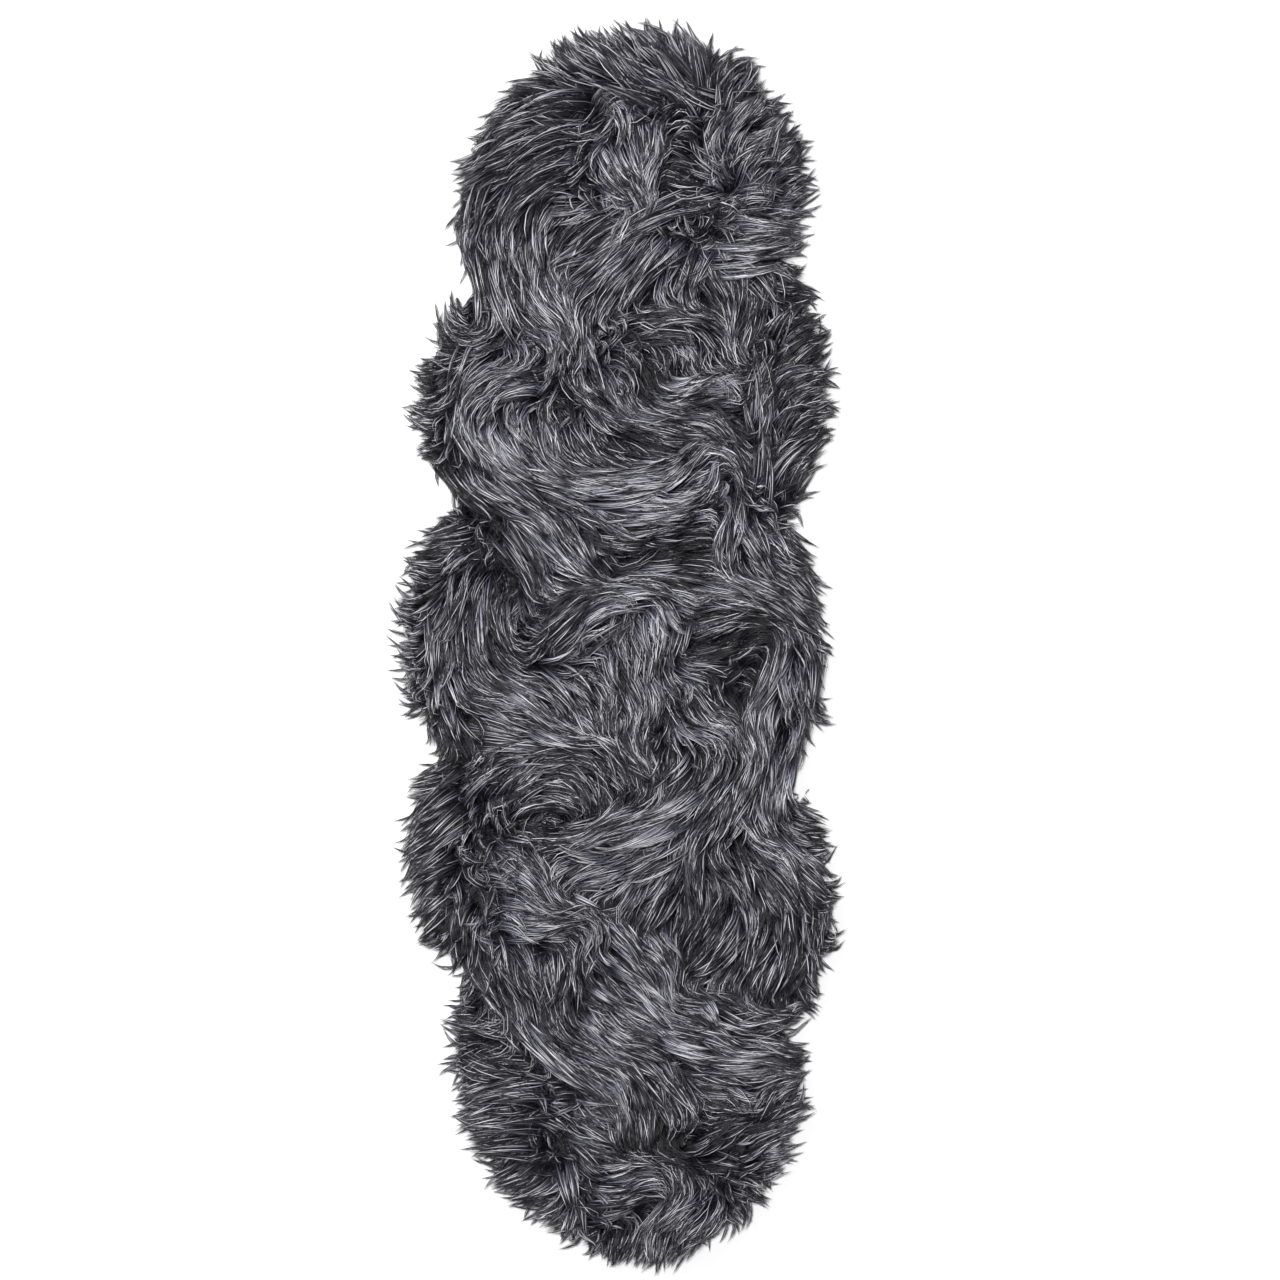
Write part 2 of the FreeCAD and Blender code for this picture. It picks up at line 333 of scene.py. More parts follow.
        (-40, -820, -80, -840, -115, -856, 0.40),
        (-80, -750, -70, -790, -60, -830, 0.65),
        (-60, -700, -30, -725, 20, -740, 0.55),
        (-40, -770, 10, -765, 50, -750, 0.60),
        (110, -750, 150, -755, 190, -765, 0.25),
        (-40, -800, 0, -800, 40, -790, 0.65),
        (-50, -830, 0, -825, 40, -812, 0.50),
        (140, -800, 90, -830, 50, -860, 0.80),
        (150, -830, 110, -850, 80, -880, 0.65),
        (80, -760, 100, -790, 90, -820, 0.55),
        (20, -850, 10, -880, -8, -912, 0.30),
        (60, -860, 60, -885, 55, -914, 0.40),
        (100, -850, 110, -870, 95, -900, 0.40),
        (155, -810, 178, -830, 190, -852, 0.25),
        (190, -780, 205, -800, 225, -812, 0.30),
    ],
}
COMB_REACH = 16 * MM        # how far round itself a stroke leads the hair
COMB_SAMPLES = 5            # points at which each stroke is felt

# ---- the coat's layers: lengths in millimetres, angles in degrees ----
LAYERS = {
    # The undercoat's tones are kept dark as painted shade in the gaps between the tufts.
    "undercoat": dict(
        seed=11, spacing=11.5, strands=6, length=(40, 62), height=(8, 18), spread=8.0,
        segments=2, radius=0.75, gather=0.55, stray=26, curl=26, frizz=2.2, pull=0.5, unruly=2.0,
        tips=(0.62, 1.0),
        dark=(0.00, 0.12), bright=(0.20, 0.40), clump=0.0, reach=(0, 8), tuft_share=(0.2, 0.4),
    ),
    "coat": dict(
        seed=23, spacing=13.5, strands=17, length=(74, 116), height=(12, 31), spread=9.0,
        segments=4, radius=0.52, gather=0.14, stray=9, curl=16, frizz=1.4, pull=0.45, unruly=1.5,
        tips=(0.66, 1.0),
        dark=(0.02, 0.40), bright=(0.55, 0.95), clump=0.60, reach=(5, 18), tuft_share=(0.55, 0.95),
    ),
    "guard_hair": dict(
        seed=37, spacing=19.0, strands=6, length=(76, 118), height=(22, 36), spread=10.0,
        segments=4, radius=0.60, gather=0.20, stray=12, curl=22, frizz=2.2, pull=0.45, unruly=2.0,
        tips=(0.66, 1.0),
        dark=(0.30, 0.55), bright=(0.70, 1.0), clump=0.50, reach=(5, 20), tuft_share=(0.6, 1.0),
    ),
    "fringe": dict(
        seed=53, spacing=9.5, strands=11, length=(62, 96), height=(5, 17), spread=5.5,
        segments=4, radius=0.52, gather=0.03, stray=22, curl=28, frizz=0.8, pull=1.5, unruly=0.3,
        tips=(0.84, 1.0),
        dark=(0.02, 0.40), bright=(0.50, 0.85), clump=0.0, reach=(16, 42), tuft_share=(0.85, 1.2),
    ),
    "filler": dict(
        seed=61, spacing=9.0, strands=14, length=(36, 66), height=(14, 27), spread=8.0,
        segments=4, radius=0.52, gather=0.14, stray=55, curl=40, frizz=2.4, pull=0.3, unruly=0.0,
        tips=(0.62, 1.0),
        dark=(0.02, 0.40), bright=(0.50, 0.85), clump=0.0, reach=(0, 10), tuft_share=(0.3, 0.6),
    ),
    "swept_locks": dict(
        seed=71, strands=14, height=(24, 37), spread=6.5,
        segments=4, radius=0.55, gather=0.08, frizz=1.2, tips=(0.70, 1.0),
        dark=(0.04, 0.46), bright=(0.62, 1.0), reach=(5, 20), tuft_share=(0.6, 1.1),
    ),
}
STROKE_LOCKS = 6            # swept locks that follow each stroke of COMB
STROKE_WIDTH = 17 * MM      # they lie this far to each side of it at their roots
TUFT_SPACING = 36 * MM      # neighbouring locks lean together into tufts this far apart
TUFT_STRAY = 13             # degrees by which the tufts leave the combed direction
TUFT_CURL = 24
THIN_CELL = 10 * MM         # size of the squares in which the coat's cover is judged
THIN_SHARE = 0.45           # a square with less than this share of the usual cover is filled
FRINGE_BAND = 15 * MM       # the fringe is rooted this near the cut edge
PIECE_STRANDS = 6400        # the most strands in one piece, so that no mesh gets too heavy
WAIST_BAND = 44 * MM        # hair that comes this near to a fold goes into the fold's own piece
HIGHEST = 38 * MM           # no lock's middle rises further than this above the cloth
SEAM_GAP = 6 * MM           # more than half of the room left between two panels' cloth
EDGE_BAND = 30 * MM         # hair rooted this near the cut edge turns outward
EDGE_DROOP = 0.55           # share of their height that they lose out there
EDGE_LIMIT = 52 * MM        # no lock hangs further out than this

# Tips of the tufts that stand out of the outline, in millimetres, besides those in COMB. They were
# read from the photograph's outline.
TUFTS = [
    (-130, 873), (-98, 882), (-70, 903), (-45, 902), (30, 912), (75, 906), (-195, 791),
    (-216, 753), (-244, 707), (-249, 587), (-228, 520), (208, 842), (175, 868), (254, 767),
    (278, 741), (287, 711), (284, 668), (280, 618), (280, 572),
    (-277, 432), (-295, 408), (-305, 364), (-309, 317), (-295, 273), (-267, 222), (-240, 205),
    (287, 516), (315, 460), (317, 430), (317, 390), (323, 343), (317, 306), (280, 200),
    (-328, 59), (-328, -16), (-319, -67), (-286, -114), (-258, -165), (254, 189), (296, 124),
    (303, 101), (324, -13), (318, -50), (318, -85), (317, -114), (290, -130),
    (-325, -302), (-291, -440), (-310, -395), (-238, -477), (329, -370), (324, -412),
    (-255, -545), (-235, -710), (-188, -794), (-165, -818), (-81, -869), (-5, -911),
    (40, -916), (77, -906), (120, -880), (185, -841), (208, -804), (245, -766), (290, -673),
    (278, -636),
]
TUFT_WIDTH = 18 * MM        # how far along the edge a tuft's reach is felt


# ---------------------------------------------------------------------------------------------
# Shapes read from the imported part
# ---------------------------------------------------------------------------------------------
def node_arrays(node):
    """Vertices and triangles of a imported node."""
    mesh = frame["nodes"][node].data
    mesh.calc_loop_triangles()
    vertices = np.empty(len(mesh.vertices) * 3)
    mesh.vertices.foreach_get("co", vertices)
    triangles = np.empty(len(mesh.loop_triangles) * 3, int)
    mesh.loop_triangles.foreach_get("vertices", triangles)
    return vertices.reshape(-1, 3), triangles.reshape(-1, 3)


def top_triangles(node):
    """The triangles of a flat node's upper face, as an array of 2-D corners."""
    vertices, triangles = node_arrays(node)
    high = vertices[:, 2] > vertices[:, 2].max() - 0.01 * MM
    return vertices[triangles[high[triangles].all(1)]][:, :, :2]


def inside(points, triangles):
    """Which 2-D points lie in any of the triangles."""
    found = np.zeros(len(points), bool)
    for a, b, c in triangles:
        sides = []
        for start, end in ((a, b), (b, c), (c, a)):
            edge, away = end - start, points - start
            sides.append(edge[0] * away[:, 1] - edge[1] * away[:, 0])
        sides = np.array(sides)
        found |= (sides >= 0).all(0) | (sides <= 0).all(0)
    return found


def fold_line(joint):
    """A point on a fold, and the level direction across it from parent to child."""
    along = Vector(joint["axis"])
    up_the_child = Vector((0, 0, 1)).cross(along)
    return np.array(joint["pos_m"][:2]), np.array(up_the_child[:2])


def across(points, joint):
    """Distance of 2-D points from a fold, positive on the child's side."""
    middle, normal = fold_line(joint)
    return (points - middle) @ normal


def cut_edge(step=3 * MM, fold_margin=8 * MM):
    """Points along the rug's free cut edge."""
    points = []
    for panel in PANELS:
        corners = np.round(top_triangles(f"{panel}_ground_cloth"), 7)
        seen = {}
        for triangle in corners:
            for k in range(3):
                pair = (tuple(triangle[k]), tuple(triangle[(k + 1) % 3]))
                key = tuple(sorted(pair))
                seen[key] = seen.get(key, 0) + 1
        for (start, end), count in seen.items():
            if count == 1:
                start, end = np.array(start), np.array(end)
                pieces = max(1, int(np.linalg.norm(end - start) / step))
                points += [start + (end - start) * i / pieces for i in range(pieces)]
    points = np.array(points)
    for joint in JOINTS.values():
        points = points[np.abs(across(points, joint)) > fold_margin]
    return points


CUT_EDGE = cut_edge()
EDGE_CHUNK = 2000           # points compared with the cut edge at a time, to save memory


def nearest_edge(points):
    """Distance to the cut edge, direction to its nearest point, and which edge point that is."""
    distance = np.empty(len(points))
    direction = np.empty((len(points), 2))
    index = np.empty(len(points), int)
    for start in range(0, len(points), EDGE_CHUNK):
        part = slice(start, start + EDGE_CHUNK)
        away = CUT_EDGE[None] - points[part][:, None]
        length = np.linalg.norm(away, axis=2)
        best = length.argmin(1)
        rows = np.arange(len(best))
        index[part] = best
        distance[part] = length[rows, best]
        direction[part] = away[rows, best] / np.maximum(length[rows, best], 1e-9)[:, None]
    return distance, direction, index


ALL_CLOTH = np.concatenate([top_triangles(f"{panel}_ground_cloth") for panel in PANELS])


def tuft_reach():
    """How far past each point of the cut edge the tufts reach, beyond the ordinary locks."""
    ends = [stroke[4:6] for strokes in COMB.values() for stroke in strokes]
    tips = np.array(ends + TUFTS) * MM
    tips = tips[~inside(tips, ALL_CLOTH)]
    distance, _, foot = nearest_edge(tips)
    along = np.linalg.norm(CUT_EDGE[:, None] - CUT_EDGE[foot][None], axis=2)
    return (distance[None] * np.exp(-(along / TUFT_WIDTH) ** 2 / 2)).max(1)


TUFT_REACH = tuft_reach()


# ---------------------------------------------------------------------------------------------
# The direction of the pile
# ---------------------------------------------------------------------------------------------
def stroke_points(stroke):
    """Start, control point and end of a stroke's curve, in metres."""
    start, way, end = (np.array(stroke[k:k + 2]) * MM for k in (0, 2, 4))
    return start, 2 * way - (start + end) / 2, end


def comb_samples():
    """Points on every stroke, the hair's direction there, and its tone."""
    points, directions, tones = [], [], []
    for strokes in COMB.values():
        for stroke in strokes:
            start, control, end = stroke_points(stroke)
            for t in np.linspace(0, 1, COMB_SAMPLES):
                points.append((1 - t) ** 2 * start + 2 * t * (1 - t) * control + t * t * end)
                slope = (1 - t) * (control - start) + t * (end - control)
                directions.append(slope / np.linalg.norm(slope))
                tones.append(stroke[6])
    return np.array(points), np.array(directions), np.array(tones)


COMB_POINTS, COMB_DIRECTIONS, COMB_TONES = comb_samples()
COMB_CHUNK = 4000           # points compared with the strokes at a time, to save memory


def combed(points):
    """Direction, agreement (0 to 1) and tone of the pile at 2-D points."""
    direction = np.empty((len(points), 2))
    agreement, tone = np.empty(len(points)), np.empty(len(points))
    for start in range(0, len(points), COMB_CHUNK):
        part = slice(start, start + COMB_CHUNK)
        away = points[part][:, None] - COMB_POINTS[None]
        near = (away ** 2).sum(2) / (2 * COMB_REACH ** 2)
        weight = np.exp(-near) + 1e-3 * np.exp(-near / 9) + 1e-9
        total = weight.sum(1)
        pull = weight @ COMB_DIRECTIONS
        size = np.linalg.norm(pull, axis=1)
        direction[part] = pull / np.maximum(size, 1e-12)[:, None]
        agreement[part] = size / total
        tone[part] = weight @ COMB_TONES / total
    return direction, agreement, tone


def turned(vectors, angles):
    """2-D vectors turned by angles in radians."""
    c, s = np.cos(angles), np.sin(angles)
    return np.stack([vectors[:, 0] * c - vectors[:, 1] * s, vectors[:, 0] * s + vectors[:, 1] * c], 1)


# ---------------------------------------------------------------------------------------------
# Locks of hair
# ---------------------------------------------------------------------------------------------
GUIDE_STEPS = 12
# Bright strands are partly pale fibres and partly painted highlight: a few anywhere are pale fibres,
# while those added where the hair catches the light and on top of each lock are painted highlight. The
# other strands are painted brighter where the hair catches the light, as painted sheen.
LIT = (0.03, 0.44, 0.08)    # share of bright strands: anywhere, more in shine, more on top
DULL = (0.22, 1.15)         # how bright the other strands are: anywhere, and more in shine
WIDTH_SPREAD = (0.70, 1.15)     # strands' widths vary at random between these shares
WIDTH_BY_TONE = (0.72, 0.78)    # and bright strands are wider: anywhere, and more with tone


def on_seam(points):
    """Which points lie in the narrow room between the cloths of two panels."""
    found = np.zeros(len(points), bool)
    for joint in JOINTS.values():
        _, normal = fold_line(joint)
        near = np.abs(across(points, joint)) < SEAM_GAP
        found[near] |= inside(points[near] + normal * SEAM_GAP, ALL_CLOTH)
        found[near] |= inside(points[near] - normal * SEAM_GAP, ALL_CLOTH)
    return found


def scatter(spacing, rng):
    """Jittered root points over the whole rug."""
    low, high = CUT_EDGE.min(0), CUT_EDGE.max(0)
    rows = int((high[1] - low[1]) / (spacing * 0.866)) + 2
    columns = int((high[0] - low[0]) / spacing) + 2
    i, j = np.meshgrid(np.arange(columns), np.arange(rows))
    grid = np.stack([low[0] + (i + 0.5 * (j % 2)) * spacing, low[1] + j * spacing * 0.866], 2)
    grid = grid.reshape(-1, 2) + rng.uniform(-0.42, 0.42, (grid.size // 2, 2)) * spacing
    return grid[inside(grid, ALL_CLOTH) | on_seam(grid)]


def guides(roots, length, stray, curl, edge_pull, unruly, rng):
    """The flat line along the pile from each root, as points (root, step, xy)."""
    count = len(roots)
    _, agreement, tone = combed(roots)
    wild = 1 + unruly * (1 - agreement + 0.6 * np.clip(1 - tone / 0.3, 0, 1))
    lean = rng.normal(0, math.radians(stray), count) * wild
    curl = rng.normal(0, math.radians(curl), count) * wild
    flat = np.empty((count, GUIDE_STEPS + 1, 2))
    flat[:, 0] = roots
    for step in range(GUIDE_STEPS):
        here = flat[:, step]
        direction, _, _ = combed(here)
        distance, outward, _ = nearest_edge(here)
        pull = edge_pull * np.clip(1 - distance / EDGE_BAND, 0, 1)
        outside = ((here - roots) * outward).sum(1) < 0
        pull = np.where(outside & (distance < EDGE_BAND) & (step > 2), 0, pull)
        direction = direction + outward * pull[:, None]
        direction /= np.linalg.norm(direction, axis=1)[:, None] + 1e-9
        angle = lean + curl * (step / GUIDE_STEPS - 0.3)
        stride = length / GUIDE_STEPS * min(1.0, 0.55 + 0.12 * step)
        flat[:, step + 1] = here + turned(direction, angle) * stride[:, None]
    return flat


def make_tufts():
    """Tufts that neighbouring locks lean into: roots, guides, and how high and bright each is."""
    rng = np.random.default_rng(5)
    roots = scatter(TUFT_SPACING, rng)
    count = len(roots)
    length = rng.uniform(85, 120, count) * MM
    flat = guides(roots, length, TUFT_STRAY, TUFT_CURL, 0.45, 1.0, rng)
    return roots, flat, rng.uniform(-5, 6, count) * MM, rng.uniform(0.55, 1.45, count)


TUFT_ROOTS, TUFT_GUIDES, TUFT_LIFT, TUFT_SHINE = make_tufts()


def nearest_tuft(roots):
    """Index of the tuft nearest to each root."""
    return np.linalg.norm(roots[:, None] - TUFT_ROOTS[None], axis=2).argmin(1)


def grown_locks(roots, layer, rng):
    """Flat guides and tones of ordinary locks, leaning together into tufts."""
    _, _, tone = combed(roots)
    length = rng.uniform(*layer["length"], len(roots)) * MM * np.clip(0.72 + 0.40 * tone, 0.6, 1.1)
    ways = layer["stray"], layer["curl"], layer["pull"], layer["unruly"]
    flat = guides(roots, length, *ways, rng)
    tuft = nearest_tuft(roots)
    shared = TUFT_GUIDES[tuft] + 0.35 * (roots - TUFT_ROOTS[tuft])[:, None]
    lean = layer["clump"] * np.linspace(0, 1, GUIDE_STEPS + 1)[None, :, None] ** 1.2
    return flat * (1 - lean) + shared * lean, tone * TUFT_SHINE[tuft]


def swept_locks(rng):
    """Flat guides and tones of the locks that lie along the strokes of COMB."""
    lines, tones = [], []
    t = np.linspace(0, 1, GUIDE_STEPS + 1)[:, None]
    for strokes in COMB.values():
        for stroke in strokes:
            start, control, end = stroke_points(stroke)
            slope = (1 - t) * (control - start) + t * (end - control)
            sideways = turned(slope / np.linalg.norm(slope, axis=1)[:, None], np.pi / 2)
            curve = (1 - t) ** 2 * start + 2 * t * (1 - t) * control + t * t * end
            for place in np.linspace(-1, 1, STROKE_LOCKS):
                offset = (place + rng.uniform(-0.3, 0.3)) * STROKE_WIDTH
                narrowing = 1 - rng.uniform(0.35, 0.85) * t ** 1.3
                shift = rng.uniform(-0.16, 0.10) * (end - start)
                shorten = rng.uniform(0.80, 1.0)
                line = curve + sideways * offset * narrowing
                line = line[0] + (line - line[0]) * shorten + shift
                lines.append(line)
                tones.append(stroke[6] * rng.uniform(0.7, 1.25))
    return np.array(lines), np.array(tones)


def held_in(flat, layer, rng):
    """Cuts the locks short where they would hang too far over the cut edge.

    Returns their points, how far out each point is, and the share of each lock that is kept.
    """
    count, steps = flat.shape[:2]
    points = flat.reshape(-1, 2)
    distance, _, foot = nearest_edge(points)
    out = ~inside(points, ALL_CLOTH) & ~on_seam(points)
    overhang = np.where(out, distance, 0).reshape(count, steps)
    ordinary = rng.uniform(*layer["reach"], count) * MM
    share = rng.uniform(*layer["tuft_share"], count)[:, None]
    standing_out = TUFT_REACH[foot].reshape(count, steps) * share
    reach = np.minimum(np.maximum(ordinary[:, None], standing_out), EDGE_LIMIT)
    over = overhang > reach
    last = np.where(over.any(1), over.argmax(1) - 0.5, steps - 1)
    share = np.linspace(0, 1, steps)[None] * last[:, None]
    low = np.clip(share.astype(int), 0, steps - 2)
    rest = share - low
    rows = np.arange(count)[:, None]
    flat = flat[rows, low] * (1 - rest[..., None]) + flat[rows, low + 1] * rest[..., None]
    overhang = overhang[rows, low] * (1 - rest) + overhang[rows, low + 1] * rest
    return flat, overhang, last / (steps - 1)


def raised(flat, tone, layer, rng):
    """Gives flat guides their height above the cloth."""
    flat, overhang, kept = held_in(flat, layer, rng)
    count = len(flat)
    t = np.linspace(0, 1, GUIDE_STEPS + 1)[None]
    top = rng.uniform(*layer["height"], count) * MM * np.clip(0.62 + 0.55 * tone, 0.6, 1.12)
    top = np.maximum(top + TUFT_LIFT[nearest_tuft(flat[:, 0])], 4 * MM)
    rise = np.sin(np.clip(t * 1.25, 0, 1) * math.pi / 2) ** 0.9
    dip = rng.uniform(-0.05, 0.30, count)[:, None] * np.clip(t - 0.55, 0, 1) ** 1.5
    height = top[:, None] * (rise - dip) * (0.35 + 0.65 * kept[:, None])
    height *= 1 - EDGE_DROOP * np.clip(overhang / (30 * MM), 0, 1)
    height = np.minimum(height, HIGHEST)
    return np.concatenate([flat, (ROOT_HEIGHT + height)[..., None]], 2)


def strands(lines, tone, layer, rng):
    """Points (strand, step, xyz) and tone of every strand in the locks on these lines."""
    count, per_lock, segments = len(lines), layer["strands"], layer["segments"]
    lock = np.repeat(np.arange(count), per_lock)
    total = len(lock)
    reach = rng.uniform(*layer["tips"], total)
    begin = rng.uniform(0.0, 0.16, total)
    t = begin[:, None] + (reach - begin)[:, None] * np.linspace(0, 1, segments + 1)[None]
    share = t * GUIDE_STEPS
    low = np.clip(share.astype(int), 0, GUIDE_STEPS - 1)
    rest = (share - low)[..., None]
    rows = lock[:, None]
    points = lines[rows, low] * (1 - rest) + lines[rows, low + 1] * rest
    forward = lines[rows, low + 1] - lines[rows, low]
    forward /= np.linalg.norm(forward, axis=2)[..., None] + 1e-12
    side = np.cross(forward, (0, 0, 1.0))
    side /= np.linalg.norm(side, axis=2)[..., None] + 1e-12
    angle, radius = rng.uniform(0, 2 * math.pi, total), np.sqrt(rng.uniform(0, 1, total))
    spread = layer["spread"] * MM
    gather = rng.uniform(0.6, 1.4, total) * layer["gather"]
    narrowing = 1 - (1 - gather[:, None]) * np.clip(t, 0, 1) ** 1.4
    sideways = (radius * np.cos(angle) * spread)[:, None] * narrowing
    level = radius * np.sin(angle)
    upward = (level * spread * 0.45)[:, None] * narrowing * np.clip(t * 2, 0, 1)
    wave = rng.uniform(0, 2 * math.pi, (total, 2))
    pace = rng.uniform(1.2, 2.6, (total, 2)) * math.pi
    frizz = rng.uniform(0.2, 1.0, total)[:, None] * layer["frizz"] * MM * np.clip(t * 1.6, 0, 1)
    sideways = sideways + np.sin(wave[:, :1] + pace[:, :1] * t) * frizz
    upward = upward + np.sin(wave[:, 1:] + pace[:, 1:] * t) * frizz * 0.5
    points = points + side * sideways[..., None]
    points[..., 2] = np.maximum(points[..., 2] + upward, 2.0 * MM)
    # Painted light: strands are painted bright as highlights, more where the hair catches the light and
    # on top of each lock. The rest are painted darker where the hair catches little light.
    shine = np.clip(tone[lock], 0, 1.3)
    lit = rng.uniform(0, 1, total) < LIT[0] + LIT[1] * shine ** 1.5 + LIT[2] * level
    dull = rng.uniform(*layer["dark"], total) * (DULL[0] + DULL[1] * shine)
    strand_tone = np.where(lit, rng.uniform(*layer["bright"], total), dull)
    return points, np.clip(strand_tone, 0, 1)


# ---------------------------------------------------------------------------------------------
# Strand meshes
# ---------------------------------------------------------------------------------------------
CORNERS = 3                 # a strand is a thin closed spike of three sides
TONE_STEP = 1 / 96          # width of one side in the tone map


def strand_mesh(name, points, tone, radius):
    """Closed tapering spikes along the points. The map OFBake holds tone across and length along."""
    count, rings = points.shape[0], points.shape[1] - 1
    forward = np.gradient(points, axis=1)
    forward /= np.linalg.norm(forward, axis=2)[..., None] + 1e-12
    side = np.cross(forward, (0, 0, 1.0))
    side /= np.linalg.norm(side, axis=2)[..., None] + 1e-12
    over = np.cross(side, forward)
    t = np.arange(rings) / rings
    width = radius[:, None] * (0.55 + 1.1 * t - 1.3 * t ** 3)[None]
    turn = np.arange(CORNERS) * 2 * math.pi / CORNERS + math.pi / 2
    ring = (side[:, :rings, None] * np.cos(turn)[:, None] + over[:, :rings, None] * np.sin(turn)[:, None])
    ring = points[:, :rings, None] + ring * width[..., None, None]
    per_strand = rings * CORNERS + 1
    vertices = np.concatenate([ring.reshape(count, -1, 3), points[:, -1:]], 1).reshape(-1, 3)

    quads, quad_map, tips, tip_map = [], [], [], []
    for k in range(rings - 1):
        for j in range(CORNERS):
            a, b = k * CORNERS + j, k * CORNERS + (j + 1) % CORNERS
            quads.append((a, b, b + CORNERS, a + CORNERS))
            v0, v1 = k / rings, (k + 1) / rings
            quad_map.append(((j, v0), (j + 1, v0), (j + 1, v1), (j, v1)))
    last = (rings - 1) * CORNERS
    for j in range(CORNERS):
        tips.append((last + j, last + (j + 1) % CORNERS, rings * CORNERS))
        tip_map.append(((j, 1 - 1 / rings), (j + 1, 1 - 1 / rings), (j + 0.5, 1.0)))
    tips.append((2, 1, 0))
    tip_map.append(((0, 0.0), (1, 0.0), (0.5, 0.02)))

    base = (np.arange(count) * per_strand)[:, None, None]
    quad_loops = (np.array(quads)[None] + base).reshape(-1)
    tip_loops = (np.array(tips)[None] + base).reshape(-1)
    loops = np.concatenate([quad_loops, tip_loops])
    sizes = np.concatenate([np.full(count * len(quads), 4), np.full(count * len(tips), 3)])
    starts = np.concatenate([[0], np.cumsum(sizes)[:-1]])
    column = tone * (1 - (CORNERS + 1) * TONE_STEP) + TONE_STEP / 2

    def mapped(pattern):
        """Map coordinates of every strand's corners, from the pattern that all strands share."""
        pattern = np.array(pattern, float).reshape(-1, 2)
        u = column[:, None] + pattern[None, :, 0] * TONE_STEP
        v = np.broadcast_to(pattern[None, :, 1] * 0.98 + 0.01, u.shape)
        return np.stack([u, v], 2).reshape(-1, 2)

    uv = np.concatenate([mapped(quad_map), mapped(tip_map)])
    mesh = bpy.data.meshes.new(name)
    mesh.vertices.add(len(vertices))
    mesh.vertices.foreach_set("co", vertices.astype(np.float32).ravel())
    mesh.loops.add(len(loops))
    mesh.loops.foreach_set("vertex_index", loops.astype(np.int32))
    mesh.polygons.add(len(sizes))
    mesh.polygons.foreach_set("loop_start", starts.astype(np.int32))
    mesh.polygons.foreach_set("use_smooth", np.ones(len(sizes), bool))
    layer = mesh.uv_layers.new(name="OFBake")
    layer.data.foreach_set("uv", uv.astype(np.float32).ravel())
    mesh.update(calc_edges=True)
    obj = bpy.data.objects.new(name, mesh)
    bpy.context.scene.collection.objects.link(obj)
    return obj


# ---------------------------------------------------------------------------------------------
# Materials
# ---------------------------------------------------------------------------------------------
def new_material(name, **settings):
    """A material with a Principled shader whose sockets are set by name."""
    material = bpy.data.materials.new(name)
    material.use_nodes = True
    shader = material.node_tree.nodes["Principled BSDF"]
    for socket, value in settings.items():
        shader.inputs[socket.replace("_", " ")].default_value = value
    return material, material.node_tree, shader


def ramp(tree, source, stops):
    """A colour ramp on a value, from (position, colour) stops."""
    node = tree.nodes.new("ShaderNodeValToRGB")
    elements = node.color_ramp.elements
    while len(elements) < len(stops):
        elements.new(0.5)
    for element, (position, colour) in zip(elements, stops):
        element.position = position
        element.color = (*colour, 1)
    tree.links.new(source, node.inputs["Fac"])
    return node.outputs["Color"]


def coloured(tree, shader, source, stops, socket="Base Color"):
    """Feeds a shader's socket from a ramp on a value."""
    tree.links.new(ramp(tree, source, stops), shader.inputs[socket])


def grey(level, cool=0.19):
    """A grey of a linear level, a little towards violet-blue as the fibre is."""
    return (level * (1 - cool * 0.35), level * (1 - cool * 0.45), level * (1 + cool))


def fur_material():
    """Strand-to-strand colour of the fibre, with painted highlight at the top of the tone ramp and
    painted shade that darkens each strand towards its root.
    """
    material, tree, shader = new_material("fur_fibre", Roughness=0.42, Specular_IOR_Level=0.55)
    uv = tree.nodes.new("ShaderNodeUVMap")
    uv.uv_map = "OFBake"
    split = tree.nodes.new("ShaderNodeSeparateXYZ")
    tree.links.new(uv.outputs["UV"], split.inputs["Vector"])
    # The top of this ramp, near-white and less blue, is painted highlight for the bright strands.
    tone = ramp(tree, split.outputs["X"], [
        (0.00, grey(0.006)), (0.25, grey(0.026)), (0.50, grey(0.11)), (0.72, grey(0.44, 0.08)),
        (1.0, grey(0.92, 0.03)),
    ])
    # Painted shade: dark at the root, where the coat shades each strand, and full from mid-length to the
    # tip.
    along = ramp(tree, split.outputs["Y"], [
        (0.00, grey(0.04)), (0.30, grey(0.30)), (0.62, grey(1.0, 0.0)), (1.0, grey(0.95, 0.0)),
    ])
    mix = tree.nodes.new("ShaderNodeMix")
    mix.data_type = "RGBA"
    mix.blend_type = "MULTIPLY"
    mix.inputs["Factor"].default_value = 1.0
    tree.links.new(tone, mix.inputs["A"])
    tree.links.new(along, mix.inputs["B"])
    tree.links.new(mix.outputs["Result"], shader.inputs["Base Color"])
    return material


def noise(tree, source, scale, detail=4.0, roughness=0.6):
    """A noise value over the given coordinates."""
    node = tree.nodes.new("ShaderNodeTexNoise")
    node.inputs["Scale"].default_value = scale
    node.inputs["Detail"].default_value = detail
    node.inputs["Roughness"].default_value = roughness
    tree.links.new(source, node.inputs["Vector"])
    return node.outputs["Fac"]


def waves(tree, source, scale, direction, distortion):
    """Parallel bands over the given coordinates."""
    node = tree.nodes.new("ShaderNodeTexWave")
    node.bands_direction = direction
    node.wave_profile = "SIN"
    node.inputs["Scale"].default_value = scale
    node.inputs["Distortion"].default_value = distortion
    tree.links.new(source, node.inputs["Vector"])
    return node.outputs["Fac"]


def combined(tree, kind, first, second):
    """A value worked out from two others."""
    node = tree.nodes.new("ShaderNodeMath")
    node.operation = kind
    for value, socket in zip((first, second), node.inputs):
        if isinstance(value, float):
            socket.default_value = value
        else:
            tree.links.new(value, socket)
    return node.outputs["Value"]


